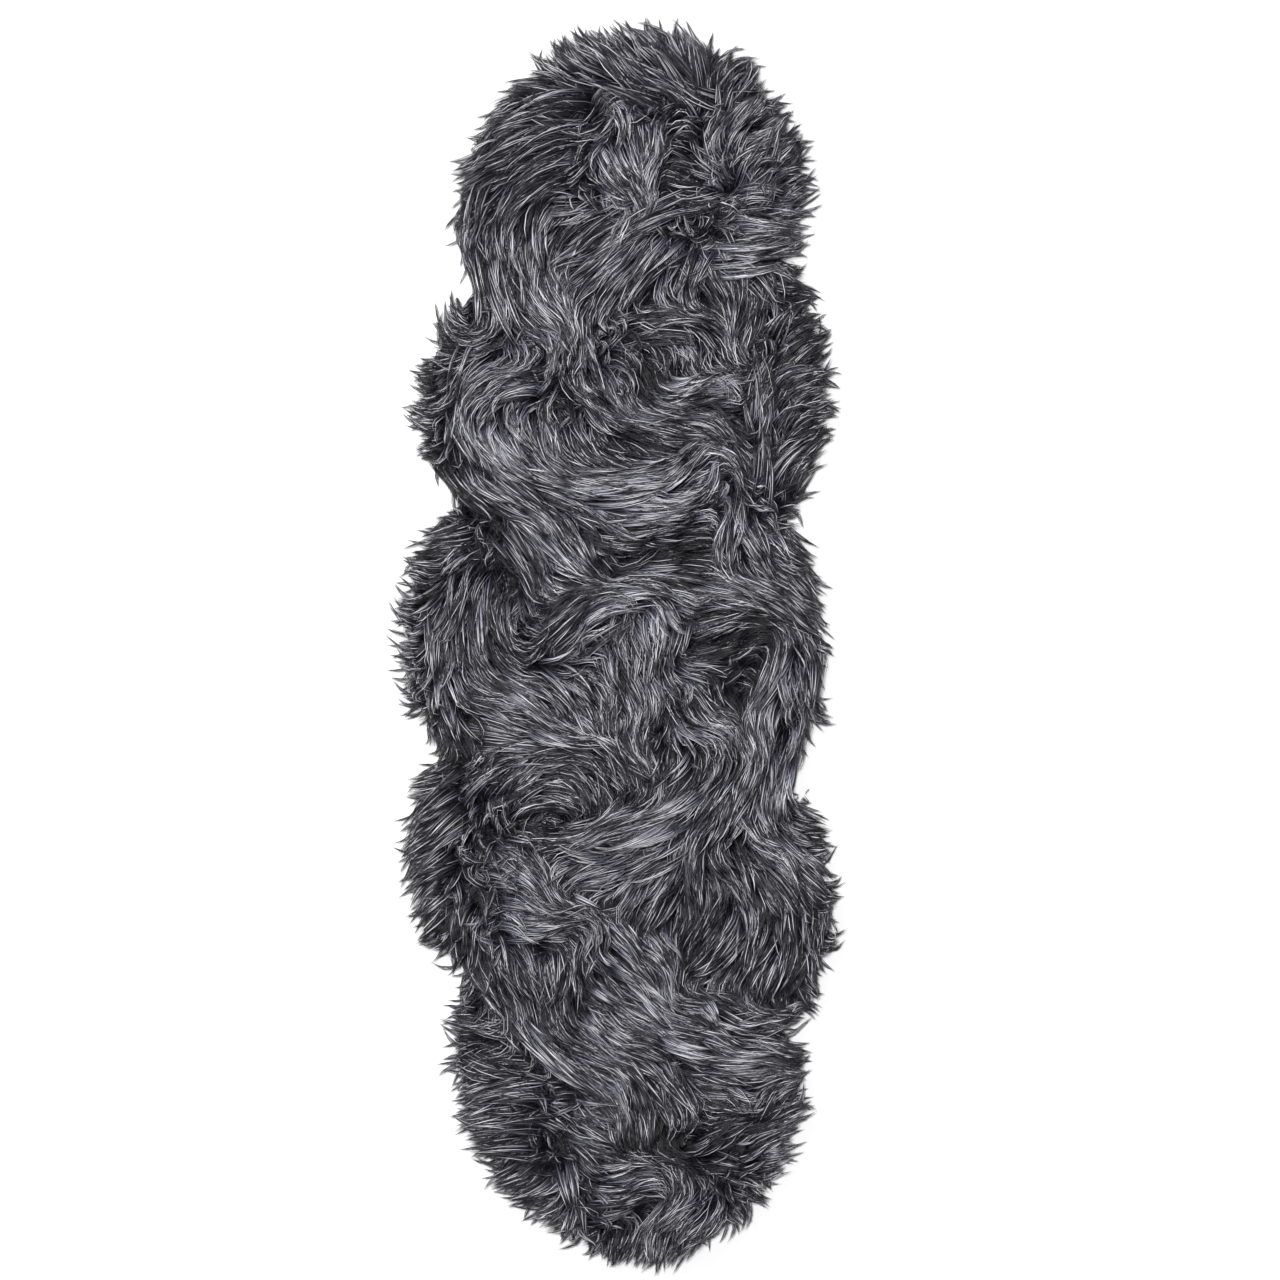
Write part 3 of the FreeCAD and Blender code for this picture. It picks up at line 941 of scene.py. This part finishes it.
def bumped(tree, shader, height, distance, strength=1.0):
    """Gives a shader a bump from a value."""
    node = tree.nodes.new("ShaderNodeBump")
    node.inputs["Distance"].default_value = distance
    node.inputs["Strength"].default_value = strength
    tree.links.new(height, node.inputs["Height"])
    tree.links.new(node.outputs["Normal"], shader.inputs["Normal"])


def coordinates(tree):
    """Coordinates in the piece's own space, in metres."""
    return tree.nodes.new("ShaderNodeTexCoord").outputs["Object"]


def suede_material():
    """Brushed suede-finish cloth: a short nap that lies in patches."""
    material, tree, shader = new_material("suede_backing", Roughness=0.88, Sheen_Weight=0.45)
    place = coordinates(tree)
    patches = noise(tree, place, 14.0, 3.0)
    nap = noise(tree, place, 900.0, 6.0, 0.75)
    mixed = combined(
        tree, "ADD",
        combined(tree, "MULTIPLY", patches, 0.7),
        combined(tree, "MULTIPLY", nap, 0.3))
    coloured(
        tree, shader, mixed,
        [(0.30, grey(0.022, 0.06)), (0.55, grey(0.036, 0.06)), (0.75, grey(0.056, 0.06))])
    bumped(tree, shader, nap, 0.25 * MM, 0.7)
    return material


def felt_material():
    """Needled felt: matted fibres."""
    material, tree, shader = new_material("needled_felt", Roughness=0.95)
    place = coordinates(tree)
    fibres = noise(tree, place, 420.0, 8.0, 0.8)
    coloured(
        tree, shader, fibres,
        [(0.3, grey(0.16, 0.0)), (0.6, grey(0.26, 0.0)), (0.8, grey(0.36, 0.0))])
    bumped(tree, shader, fibres, 0.6 * MM)
    return material


def knit_material():
    """Warp-knitted ground: fine ribs across short loops."""
    material, tree, shader = new_material("knitted_ground", Roughness=0.85)
    place = coordinates(tree)
    ribs = waves(tree, place, 150.0, "X", 1.0)
    loops = waves(tree, place, 210.0, "Y", 1.5)
    knit = combined(tree, "MULTIPLY", ribs, loops)
    coloured(tree, shader, knit, [(0.0, grey(0.008)), (0.5, grey(0.022)), (1.0, grey(0.045))])
    bumped(tree, shader, knit, 0.4 * MM)
    return material


def twill_material():
    """Cotton twill tape: fine slanting ribs with a little wear."""
    material, tree, shader = new_material("twill_tape", Roughness=0.8, Sheen_Weight=0.2)
    place = coordinates(tree)
    ribs = waves(tree, place, 320.0, "DIAGONAL", 0.6)
    wear = noise(tree, place, 60.0, 4.0)
    mixed = combined(
        tree, "ADD",
        combined(tree, "MULTIPLY", ribs, 0.55),
        combined(tree, "MULTIPLY", wear, 0.45))
    coloured(
        tree, shader, mixed,
        [(0.2, grey(0.010, 0.08)), (0.5, grey(0.020, 0.08)), (0.9, grey(0.042, 0.08))])
    bumped(tree, shader, ribs, 0.2 * MM)
    return material


def thread_material():
    """Twisted polyester thread."""
    material, tree, shader = new_material("sewing_thread", Roughness=0.5, Sheen_Weight=0.2)
    place = coordinates(tree)
    twist = waves(tree, place, 900.0, "DIAGONAL", 0.4)
    coloured(tree, shader, twist, [(0.0, grey(0.12, 0.05)), (1.0, grey(0.28, 0.05))])
    bumped(tree, shader, twist, 0.1 * MM)
    return material


def rubber_material():
    """Grip rubber, dulled with lint."""
    material, tree, shader = new_material("grip_rubber", Specular_IOR_Level=0.35)
    place = coordinates(tree)
    lint = noise(tree, place, 500.0, 6.0, 0.7)
    coloured(tree, shader, lint, [(0.35, grey(0.022, 0.0)), (0.7, grey(0.045, 0.0))])
    coloured(tree, shader, lint, [(0.3, (0.5,) * 3), (0.7, (0.72,) * 3)], "Roughness")
    bumped(tree, shader, lint, 0.08 * MM)
    return material


def label_material():
    """White satin label cloth."""
    material, tree, shader = new_material("label_satin", Roughness=0.38, Sheen_Weight=0.2)
    place = coordinates(tree)
    warp = waves(tree, place, 1100.0, "X", 0.5)
    weft = waves(tree, place, 500.0, "Y", 0.5)
    weave = combined(tree, "MULTIPLY", warp, weft)
    coloured(tree, shader, weave, [(0.0, (0.60, 0.60, 0.58)), (1.0, (0.78, 0.78, 0.76))])
    bumped(tree, shader, weave, 0.05 * MM)
    return material


def make_materials():
    """The cloth and trimming materials, by slot."""
    return {
        "backing_suede": suede_material(),
        "interlining_felt": felt_material(),
        "ground_knit": knit_material(),
        "twill_tape": twill_material(),
        "thread": thread_material(),
        "grip_rubber": rubber_material(),
        "label_cloth": label_material(),
    }


# ---------------------------------------------------------------------------------------------
# The fur
# ---------------------------------------------------------------------------------------------
FOLDS_DOWN = ["fold_head", "fold_shoulder", "fold_hip", "fold_tail"]


def homes_of(flat):
    """For each lock, the joint whose fold it comes near, or else the panel that it is on."""
    roots = flat[:, 0]
    found = np.full(len(flat), PANELS[0], dtype=object)
    for name, below in zip(FOLDS_DOWN, PANELS[1:]):
        toward_tail = 1 if JOINTS[name]["child"] == below else -1
        found[across(roots, JOINTS[name]) * toward_tail > 0] = below
    for name in FOLDS_DOWN:
        found[(np.abs(across(flat, JOINTS[name])) < WAIST_BAND).any(1)] = name
    return found


def thinly_covered(roots, flat):
    """Which roots lie where the coat's locks leave the cloth bare."""
    low = CUT_EDGE.min(0) - 2 * EDGE_LIMIT
    size = np.ceil((CUT_EDGE.max(0) + 2 * EDGE_LIMIT - low) / THIN_CELL).astype(int)
    cover = np.zeros(size)
    cells = ((flat[:, 2:].reshape(-1, 2) - low) / THIN_CELL).astype(int)
    np.add.at(cover, (cells[:, 0], cells[:, 1]), 1)
    own = ((roots - low) / THIN_CELL).astype(int)
    usual = np.median(cover[own[:, 0], own[:, 1]])
    near = sum(np.roll(cover, shift, axis) for shift in (-1, 1) for axis in (0, 1))
    smooth = (2 * cover + near) / 6
    return smooth[own[:, 0], own[:, 1]] < THIN_SHARE * usual


def place_piece(obj, home, material):
    """Gives a fur piece its material and slot, and attaches it to the body that it moves with; a piece at
    a fold is left unattached.
    """
    obj.data.materials.append(material)
    if home in JOINTS:
        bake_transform(obj)
    else:
        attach(obj, home)


def layer_guides(name, layer, coat, rng):
    """Flat guides and tones of one layer's locks. coat is the coat's own guides, once known."""
    if name == "swept_locks":
        return swept_locks(rng)
    roots = scatter(layer["spacing"] * MM, rng)
    if name == "fringe":
        roots = roots[nearest_edge(roots)[0] < FRINGE_BAND]
    if name == "filler":
        roots = roots[thinly_covered(roots, coat)]
    return grown_locks(roots, layer, rng)


def make_fur():
    """Every layer of hair, split by the panel that it moves with, or the fold that it lies near, into
    pieces of a fair size.
    """
    material = fur_material()
    coat = None
    unreplaced = set(PANELS)
    for layer_name, layer in LAYERS.items():
        rng = np.random.default_rng(layer["seed"])
        flat, tone = layer_guides(layer_name, layer, coat, rng)
        if layer_name == "coat":
            coat = flat
        homes = homes_of(flat)
        lines = raised(flat, tone, layer, rng)
        for home in sorted(set(homes)):
            here = homes == home
            points, strand_tone = strands(lines[here], tone[here], layer, rng)
            radius = layer["radius"] * MM * rng.uniform(*WIDTH_SPREAD, len(points))
            radius *= WIDTH_BY_TONE[0] + WIDTH_BY_TONE[1] * strand_tone
            parts = math.ceil(len(points) / PIECE_STRANDS)
            for part in range(parts):
                chosen = slice(part, None, parts)
                name = f"{home}_{layer_name}" + (f"_{part + 1}" if parts > 1 else "")
                obj = strand_mesh(name, points[chosen], strand_tone[chosen], radius[chosen])
                place_piece(obj, home, material)
                if layer_name == "coat" and home in unreplaced:
                    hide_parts(f"{home}_fur_pile")
                    unreplaced.remove(home)


# ---------------------------------------------------------------------------------------------
# Cloth, tape and thread
# ---------------------------------------------------------------------------------------------
def mesh_object(name, vertices, faces):
    """A smooth-shaded object from vertices and faces."""
    mesh = bpy.data.meshes.new(name)
    mesh.from_pydata([tuple(v) for v in vertices], [], [tuple(int(i) for i in f) for f in faces])
    mesh.polygons.foreach_set("use_smooth", np.ones(len(mesh.polygons), bool))
    mesh.update(calc_edges=True)
    obj = bpy.data.objects.new(name, mesh)
    bpy.context.scene.collection.objects.link(obj)
    return obj


def outline_of(node):
    """The outline of a flat node's upper face, as an anticlockwise loop of 2-D points."""
    following = {}
    used = set()
    for triangle in np.round(top_triangles(node), 7):
        (ax, ay), (bx, by), (cx, cy) = triangle
        if (bx - ax) * (cy - ay) - (by - ay) * (cx - ax) < 0:
            triangle = triangle[::-1]
        corners = [tuple(corner) for corner in triangle]
        used.update(zip(corners, corners[1:] + corners[:1]))
    for start, end in used:
        if (end, start) not in used:
            following[start] = end
    first = next(iter(following))
    loop = [first]
    while following[loop[-1]] != first:
        loop.append(following[loop[-1]])
    return np.array(loop)


def resampled(line, step):
    """Points evenly spaced along an open 2-D line, ends kept."""
    lengths = np.concatenate([[0], np.cumsum(np.linalg.norm(np.diff(line, axis=0), axis=1))])
    count = max(2, int(round(lengths[-1] / step)) + 1)
    places = np.linspace(0, lengths[-1], count)
    return np.stack([np.interp(places, lengths, line[:, k]) for k in (0, 1)], 1)


def undulation(points, seed, wavelength, height):
    """A gentle irregular relief over 2-D points, between minus and plus height."""
    rng = np.random.default_rng(seed)
    relief = np.zeros(len(points))
    for _ in range(6):
        angle, phase = rng.uniform(0, 2 * math.pi, 2)
        pace = 2 * math.pi / (wavelength * rng.uniform(0.6, 1.6))
        relief += np.sin((points @ (math.cos(angle), math.sin(angle))) * pace + phase)
    return relief / 6 * height


def sheet_piece(name, outline, bottom, top, cell, relief_seed, relief, wavelength=60 * MM):
    """A closed sheet of cloth with its own fine mesh, between two heights, and its flat area."""
    edge = resampled(np.concatenate([outline, outline[:1]]), cell)[:-1]
    low, high = edge.min(0), edge.max(0)
    x, y = np.meshgrid(np.arange(low[0], high[0], cell), np.arange(low[1], high[1], cell))
    grid = np.stack([x, y], 2).reshape(-1, 2)
    loop = np.array([[edge[0], edge[i], edge[i + 1]] for i in range(1, len(edge) - 1)])
    turns = np.zeros(len(grid), bool)
    for triangle in loop:
        turns ^= inside(grid, triangle[None])
    clear = np.array([np.linalg.norm(edge - point, axis=1).min() > 0.6 * cell for point in grid])
    points = [Vector(p) for p in np.concatenate([edge, grid[turns & clear]])]
    border = [(i, (i + 1) % len(edge)) for i in range(len(edge))]
    flat, _, faces, *_ = delaunay_2d_cdt(points, border, [], 1, 1e-7)
    flat = np.array([tuple(p) for p in flat])
    faces = [f if triangle_area(flat[list(f)]) > 0 else f[::-1] for f in faces]
    area = sum(abs(triangle_area(flat[list(f)])) for f in faces)
    lift = undulation(flat, relief_seed, wavelength, relief)
    count = len(flat)
    upper = np.column_stack([flat, top - relief + lift])
    lower = np.column_stack([flat, bottom + relief + lift])
    sides = {(f[i], f[(i + 1) % 3]) for f in faces for i in range(3)}
    walls = [(b, a, a + count, b + count) for a, b in sides if (b, a) not in sides]
    under = [tuple(i + count for i in reversed(f)) for f in faces]
    obj = mesh_object(name, np.concatenate([upper, lower]), [*faces, *under, *walls])
    return obj, area


def triangle_area(corners):
    """Signed area of a 2-D triangle."""
    (ax, ay), (bx, by), (cx, cy) = corners
    return ((bx - ax) * (cy - ay) - (by - ay) * (cx - ax)) / 2


SHEETS = {
    # node: slot, mesh size, relief, what it rests on
    "ground_cloth": dict(slot="ground_knit", cell=9 * MM, relief=0.20 * MM, on="interlining"),
    "interlining": dict(slot="interlining_felt", cell=14 * MM, relief=0.10 * MM, on="backing"),
    "backing": dict(slot="backing_suede", cell=7 * MM, relief=0.12 * MM, on="grip_dots"),
}
SHEET_CLEARANCE = 0.03 * MM


def make_sheets(materials):
    """The three cloth layers of every panel."""
    for number, panel in enumerate(PANELS):
        for kind, settings in SHEETS.items():
            node = f"{panel}_{kind}"
            low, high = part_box(node)
            obj, area = sheet_piece(
                f"{panel}_{kind}_sheet", outline_of(node),
                low.z + SHEET_CLEARANCE, high.z - SHEET_CLEARANCE,
                settings["cell"], 100 + number, settings["relief"],
            )
            finish_piece(obj, materials[settings["slot"]], panel, node)


def finish_piece(obj, material, body, node=None):
    """Material, slot, body and the CAD node that a piece stands for."""
    obj.data.materials.append(material)
    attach(obj, body)
    if node:
        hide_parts(node)


# The folded tape's section: distance out from the cloth's edge, and height, in millimetres.
BINDING_SECTION = [
    (-12.0, 0.80), (-11.7, 0.46), (-6.0, 0.42), (-0.6, 0.44), (0.35, 0.64), (0.76, 1.3), (0.80, 3.8),
    (0.76, 6.4), (0.35, 7.02), (-0.6, 7.26), (-5.7, 7.26), (-6.0, 6.92), (-5.7, 6.58), (-0.1, 6.56),
    (0.03, 6.3), (0.03, 1.4), (-0.1, 1.16), (-11.7, 1.16),
]
BINDING_STEP = 4 * MM
BINDING_PUCKER = 0.10 * MM  # how much the stitching draws the tape in between stitches
BINDING_PUCKER_PITCH = 9 * MM
STITCH_INSET = 9.2 * MM     # the binding's stitches lie this far in from the cloth's edge
STITCH_PITCH = 5.0 * MM
BINDING_STITCH = dict(length=3.6 * MM, width=0.7 * MM, thickness=0.36 * MM, height=0.34 * MM)
BINDING_END = 6 * MM        # edge points this near to a fold belong to the seam


def free_edges(panel):
    """The panel's cut edges between its folds, as open lines with the cloth on their left."""
    loop = outline_of(f"{panel}_ground_cloth")
    at_fold = np.zeros(len(loop), bool)
    for joint in JOINTS.values():
        if panel in (joint["parent"], joint["child"]):
            at_fold |= np.abs(across(loop, joint)) < BINDING_END
    starts = np.nonzero(at_fold & ~np.roll(at_fold, -1))[0]
    lines = []
    for start in starts:
        line = [loop[start]]
        i = (start + 1) % len(loop)
        while not at_fold[i]:
            line.append(loop[i])
            i = (i + 1) % len(loop)
        lines.append(np.array(line + [loop[i]]))
    return lines


def line_frames(line):
    """Unit direction and outward direction at each point of a line with the cloth on its left."""
    along = np.gradient(line, axis=0)
    along /= np.linalg.norm(along, axis=1)[:, None]
    return along, np.stack([along[:, 1], -along[:, 0]], 1)


def binding_piece(name, lines):
    """Tape folded round the lines, with its seam's slight puckers."""
    section = np.array(BINDING_SECTION) * MM
    around = len(section)
    vertices, faces = [], []
    for line in lines:
        points = resampled(line, BINDING_STEP)
        _, outward = line_frames(points)
        first, count = len(vertices), len(points)
        for k, (point, out) in enumerate(zip(points, outward)):
            place = k * BINDING_STEP
            pucker = BINDING_PUCKER * math.sin(place * 2 * math.pi / BINDING_PUCKER_PITCH)
            for u, z in section:
                flat = point + out * (u - (pucker if u < 0 else 0))
                vertices.append((*flat, z))
        for k in range(count - 1):
            for j in range(around):
                a, b = first + k * around + j, first + k * around + (j + 1) % around
                faces.append((a, a + around, b + around, b))
        faces.append(tuple(first + j for j in range(around)))
        faces.append(tuple(first + (count - 1) * around + j for j in reversed(range(around))))
    return mesh_object(name, vertices, faces)


STITCH_SIDES = 6
STITCH_SECTION = [(0.0, 0.25), (0.12, 0.72), (0.5, 1.0), (0.88, 0.72), (1.0, 0.25)]


def stitch_piece(name, centres, directions, length, width, thickness, height):
    """Rounded threads lying along 2-D directions, centred at a height."""
    vertices, faces = [], []
    for centre, along in zip(centres, directions):
        side = np.array([along[1], -along[0]])
        first = len(vertices)
        for share, swell in STITCH_SECTION:
            middle = centre + along * (share - 0.5) * length
            for j in range(STITCH_SIDES):
                angle = 2 * math.pi * j / STITCH_SIDES
                flat = middle + side * (math.cos(angle) * width / 2 * swell)
                vertices.append((*flat, height + math.sin(angle) * thickness / 2 * swell))
        for k in range(len(STITCH_SECTION) - 1):
            for j in range(STITCH_SIDES):
                a, b = first + k * STITCH_SIDES + j, first + k * STITCH_SIDES + (j + 1) % STITCH_SIDES
                faces.append((a, b, b + STITCH_SIDES, a + STITCH_SIDES))
        last = first + (len(STITCH_SECTION) - 1) * STITCH_SIDES
        faces.append(tuple(first + j for j in reversed(range(STITCH_SIDES))))
        faces.append(tuple(last + j for j in range(STITCH_SIDES)))
    return mesh_object(name, vertices, faces)


def make_bindings(materials):
    """The tape round each panel's free edges, and the row of stitches that holds it."""
    for panel in PANELS:
        lines = free_edges(panel)
        node = f"{panel}_edge_binding"
        tape = binding_piece(f"{panel}_binding_tape", lines)
        finish_piece(tape, materials["twill_tape"], panel, node)
        centres, directions = [], []
        for line in lines:
            points = resampled(line, STITCH_PITCH)[1:-1]
            along, outward = line_frames(points)
            centres += list(points - outward * STITCH_INSET)
            directions += list(along)
        row = stitch_piece(
            f"{panel}_binding_stitches", centres, directions, **BINDING_STITCH)
        finish_piece(row, materials["thread"], panel)


SEAM_TAPE_CELL = 2.5 * MM
SEAM_TAPE_RELIEF = dict(relief_seed=7, relief=0.05 * MM, wavelength=20 * MM)
SEAM_STITCH_LENGTH = 7.0 * MM
SEAM_STITCH_WIDTH = 1.0 * MM
SEAM_STITCH_GAP = 3 * MM    # corners further apart along the seam belong to different stitches


def make_seams(materials):
    """Seam tapes over their folds, and the rounded stitches on each side of them."""
    for name, (upper, lower) in zip(FOLDS_DOWN, zip(PANELS, PANELS[1:])):
        joint = JOINTS[name]
        node = f"{upper}_{lower}_seam_tape"
        corners = outline_of(node)
        low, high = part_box(node)
        obj, _ = sheet_piece(
            f"{upper}_{lower}_tape", corners, low.z + SHEET_CLEARANCE, high.z - SHEET_CLEARANCE,
            SEAM_TAPE_CELL, **SEAM_TAPE_RELIEF)
        obj.data.materials.append(materials["twill_tape"])
        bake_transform(obj)
        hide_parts(node)
        along = np.array(joint["axis"][:2])
        for panel, other in ((upper, lower), (lower, upper)):
            row = f"{panel}_stitches_to_{other}"
            vertices, _ = node_arrays(row)
            bottom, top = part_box(row)
            place = vertices[:, :2] @ along
            order = np.argsort(place)
            breaks = np.nonzero(np.diff(place[order]) > SEAM_STITCH_GAP)[0] + 1
            groups = np.split(order, breaks)
            centres = [vertices[group, :2].mean(0) for group in groups]
            threads = stitch_piece(
                f"{row}_threads", centres, [along] * len(centres),
                SEAM_STITCH_LENGTH, SEAM_STITCH_WIDTH, top.z - bottom.z, (top.z + bottom.z) / 2)
            finish_piece(threads, materials["thread"], panel, row)


LABEL_CLEARANCE = 0.01 * MM
LABEL_CELL = 2 * MM
LABEL_RELIEF = dict(relief_seed=3, relief=0.03 * MM, wavelength=25 * MM)
LABEL_HEM = 2.5 * MM        # its stitches lie this far in from its sewn end
LABEL_STITCH_PITCH = 4 * MM
LABEL_STITCH = dict(length=2.8 * MM, width=0.6 * MM, thickness=0.3 * MM)
LABEL_STITCH_SINK = 0.08 * MM   # their middles lie this far under the label's lower face


def make_label(materials):
    """The blank care label, a soft slip of satin with a hem along its sewn end."""
    low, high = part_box("care_label")
    outline = np.array([(low.x, low.y), (high.x, low.y), (high.x, high.y), (low.x, high.y)])
    label, _ = sheet_piece(
        "care_label_slip", outline, low.z + LABEL_CLEARANCE, high.z - LABEL_CLEARANCE,
        LABEL_CELL, **LABEL_RELIEF)
    finish_piece(label, materials["label_cloth"], "tail", "care_label")
    places = np.arange(low.x + 3 * MM, high.x - 2 * MM, LABEL_STITCH_PITCH)
    centres = [np.array([x, high.y - LABEL_HEM]) for x in places]
    row = stitch_piece(
        "care_label_stitches", centres, [np.array([1.0, 0.0])] * len(centres),
        height=low.z - LABEL_STITCH_SINK, **LABEL_STITCH)
    finish_piece(row, materials["thread"], "tail")


def give_material(node, material):
    """A carried-over CAD node's material."""
    for slot in frame["nodes"][node].material_slots:
        slot.material = material


# ---------------------------------------------------------------------------------------------
# Floor, light and camera
# ---------------------------------------------------------------------------------------------
FLOOR_REACH = 30.0
FLOOR_GREY = (0.86, 0.86, 0.86, 1)


def make_stage():
    """The plain pale floor."""
    corners = [(x * FLOOR_REACH, y * FLOOR_REACH, 0) for x, y in ((-1, -1), (1, -1), (1, 1), (-1, 1))]
    mesh = bpy.data.meshes.new("floor")
    mesh.from_pydata(corners, [], [(0, 1, 2, 3)])
    floor = bpy.data.objects.new("floor", mesh)
    bpy.context.scene.collection.objects.link(floor)
    material, _, _ = new_material("floor_paint", Base_Color=FLOOR_GREY, Roughness=0.9)
    mesh.materials.append(material)


def area_light(name, place, target, size, power):
    """A round soft light, turned towards its target."""
    data = bpy.data.lights.new(name, "AREA")
    data.shape = "DISK"
    data.size = size
    data.energy = power
    light = bpy.data.objects.new(name, data)
    light.location = place
    light.rotation_euler = (Vector(target) - Vector(place)).to_track_quat("-Z", "Y").to_euler()
    bpy.context.scene.collection.objects.link(light)


WORLD_STRENGTH = 0.22


def make_light():
    """Even light from all round, a large light overhead and a weaker one from the side."""
    world = bpy.data.worlds.new("studio")
    world.use_nodes = True
    world.node_tree.nodes["Background"].inputs["Color"].default_value = (1.0, 1.0, 1.0, 1)
    world.node_tree.nodes["Background"].inputs["Strength"].default_value = WORLD_STRENGTH
    bpy.context.scene.world = world
    area_light("overhead", (-1.2, 1.4, 11.0), (0, 0, 0), 2.6, 1250)
    area_light("side", (-3.0, 2.4, 3.0), (0, 0, 0), 1.2, 110)
    bpy.context.scene.view_settings.view_transform = "Standard"


CAMERA_HEIGHT = 9.0
FRAME_WIDTH = 1.8637        # width of floor that the square picture spans
FRAME_CENTRE = (0.0335, 0.008)
FRAME_HEIGHT = 0.03         # the width holds at this height above the floor, inside the pile
SENSOR_WIDTH = 36.0


def make_camera():
    """The camera straight above the rug."""
    data = bpy.data.cameras.new("camera")
    data.sensor_width = SENSOR_WIDTH
    data.lens = SENSOR_WIDTH * (CAMERA_HEIGHT - FRAME_HEIGHT) / FRAME_WIDTH
    camera = bpy.data.objects.new("camera", data)
    camera.location = (*FRAME_CENTRE, CAMERA_HEIGHT)
    camera.rotation_euler = (0, 0, 0)
    data.clip_end = 60.0
    bpy.context.scene.collection.objects.link(camera)
    bpy.context.scene.camera = camera


make_camera()
make_fur()
materials = make_materials()
make_sheets(materials)
make_bindings(materials)
make_seams(materials)
make_label(materials)
for panel in PANELS:
    give_material(f"{panel}_grip_dots", materials["grip_rubber"])
make_stage()
make_light()
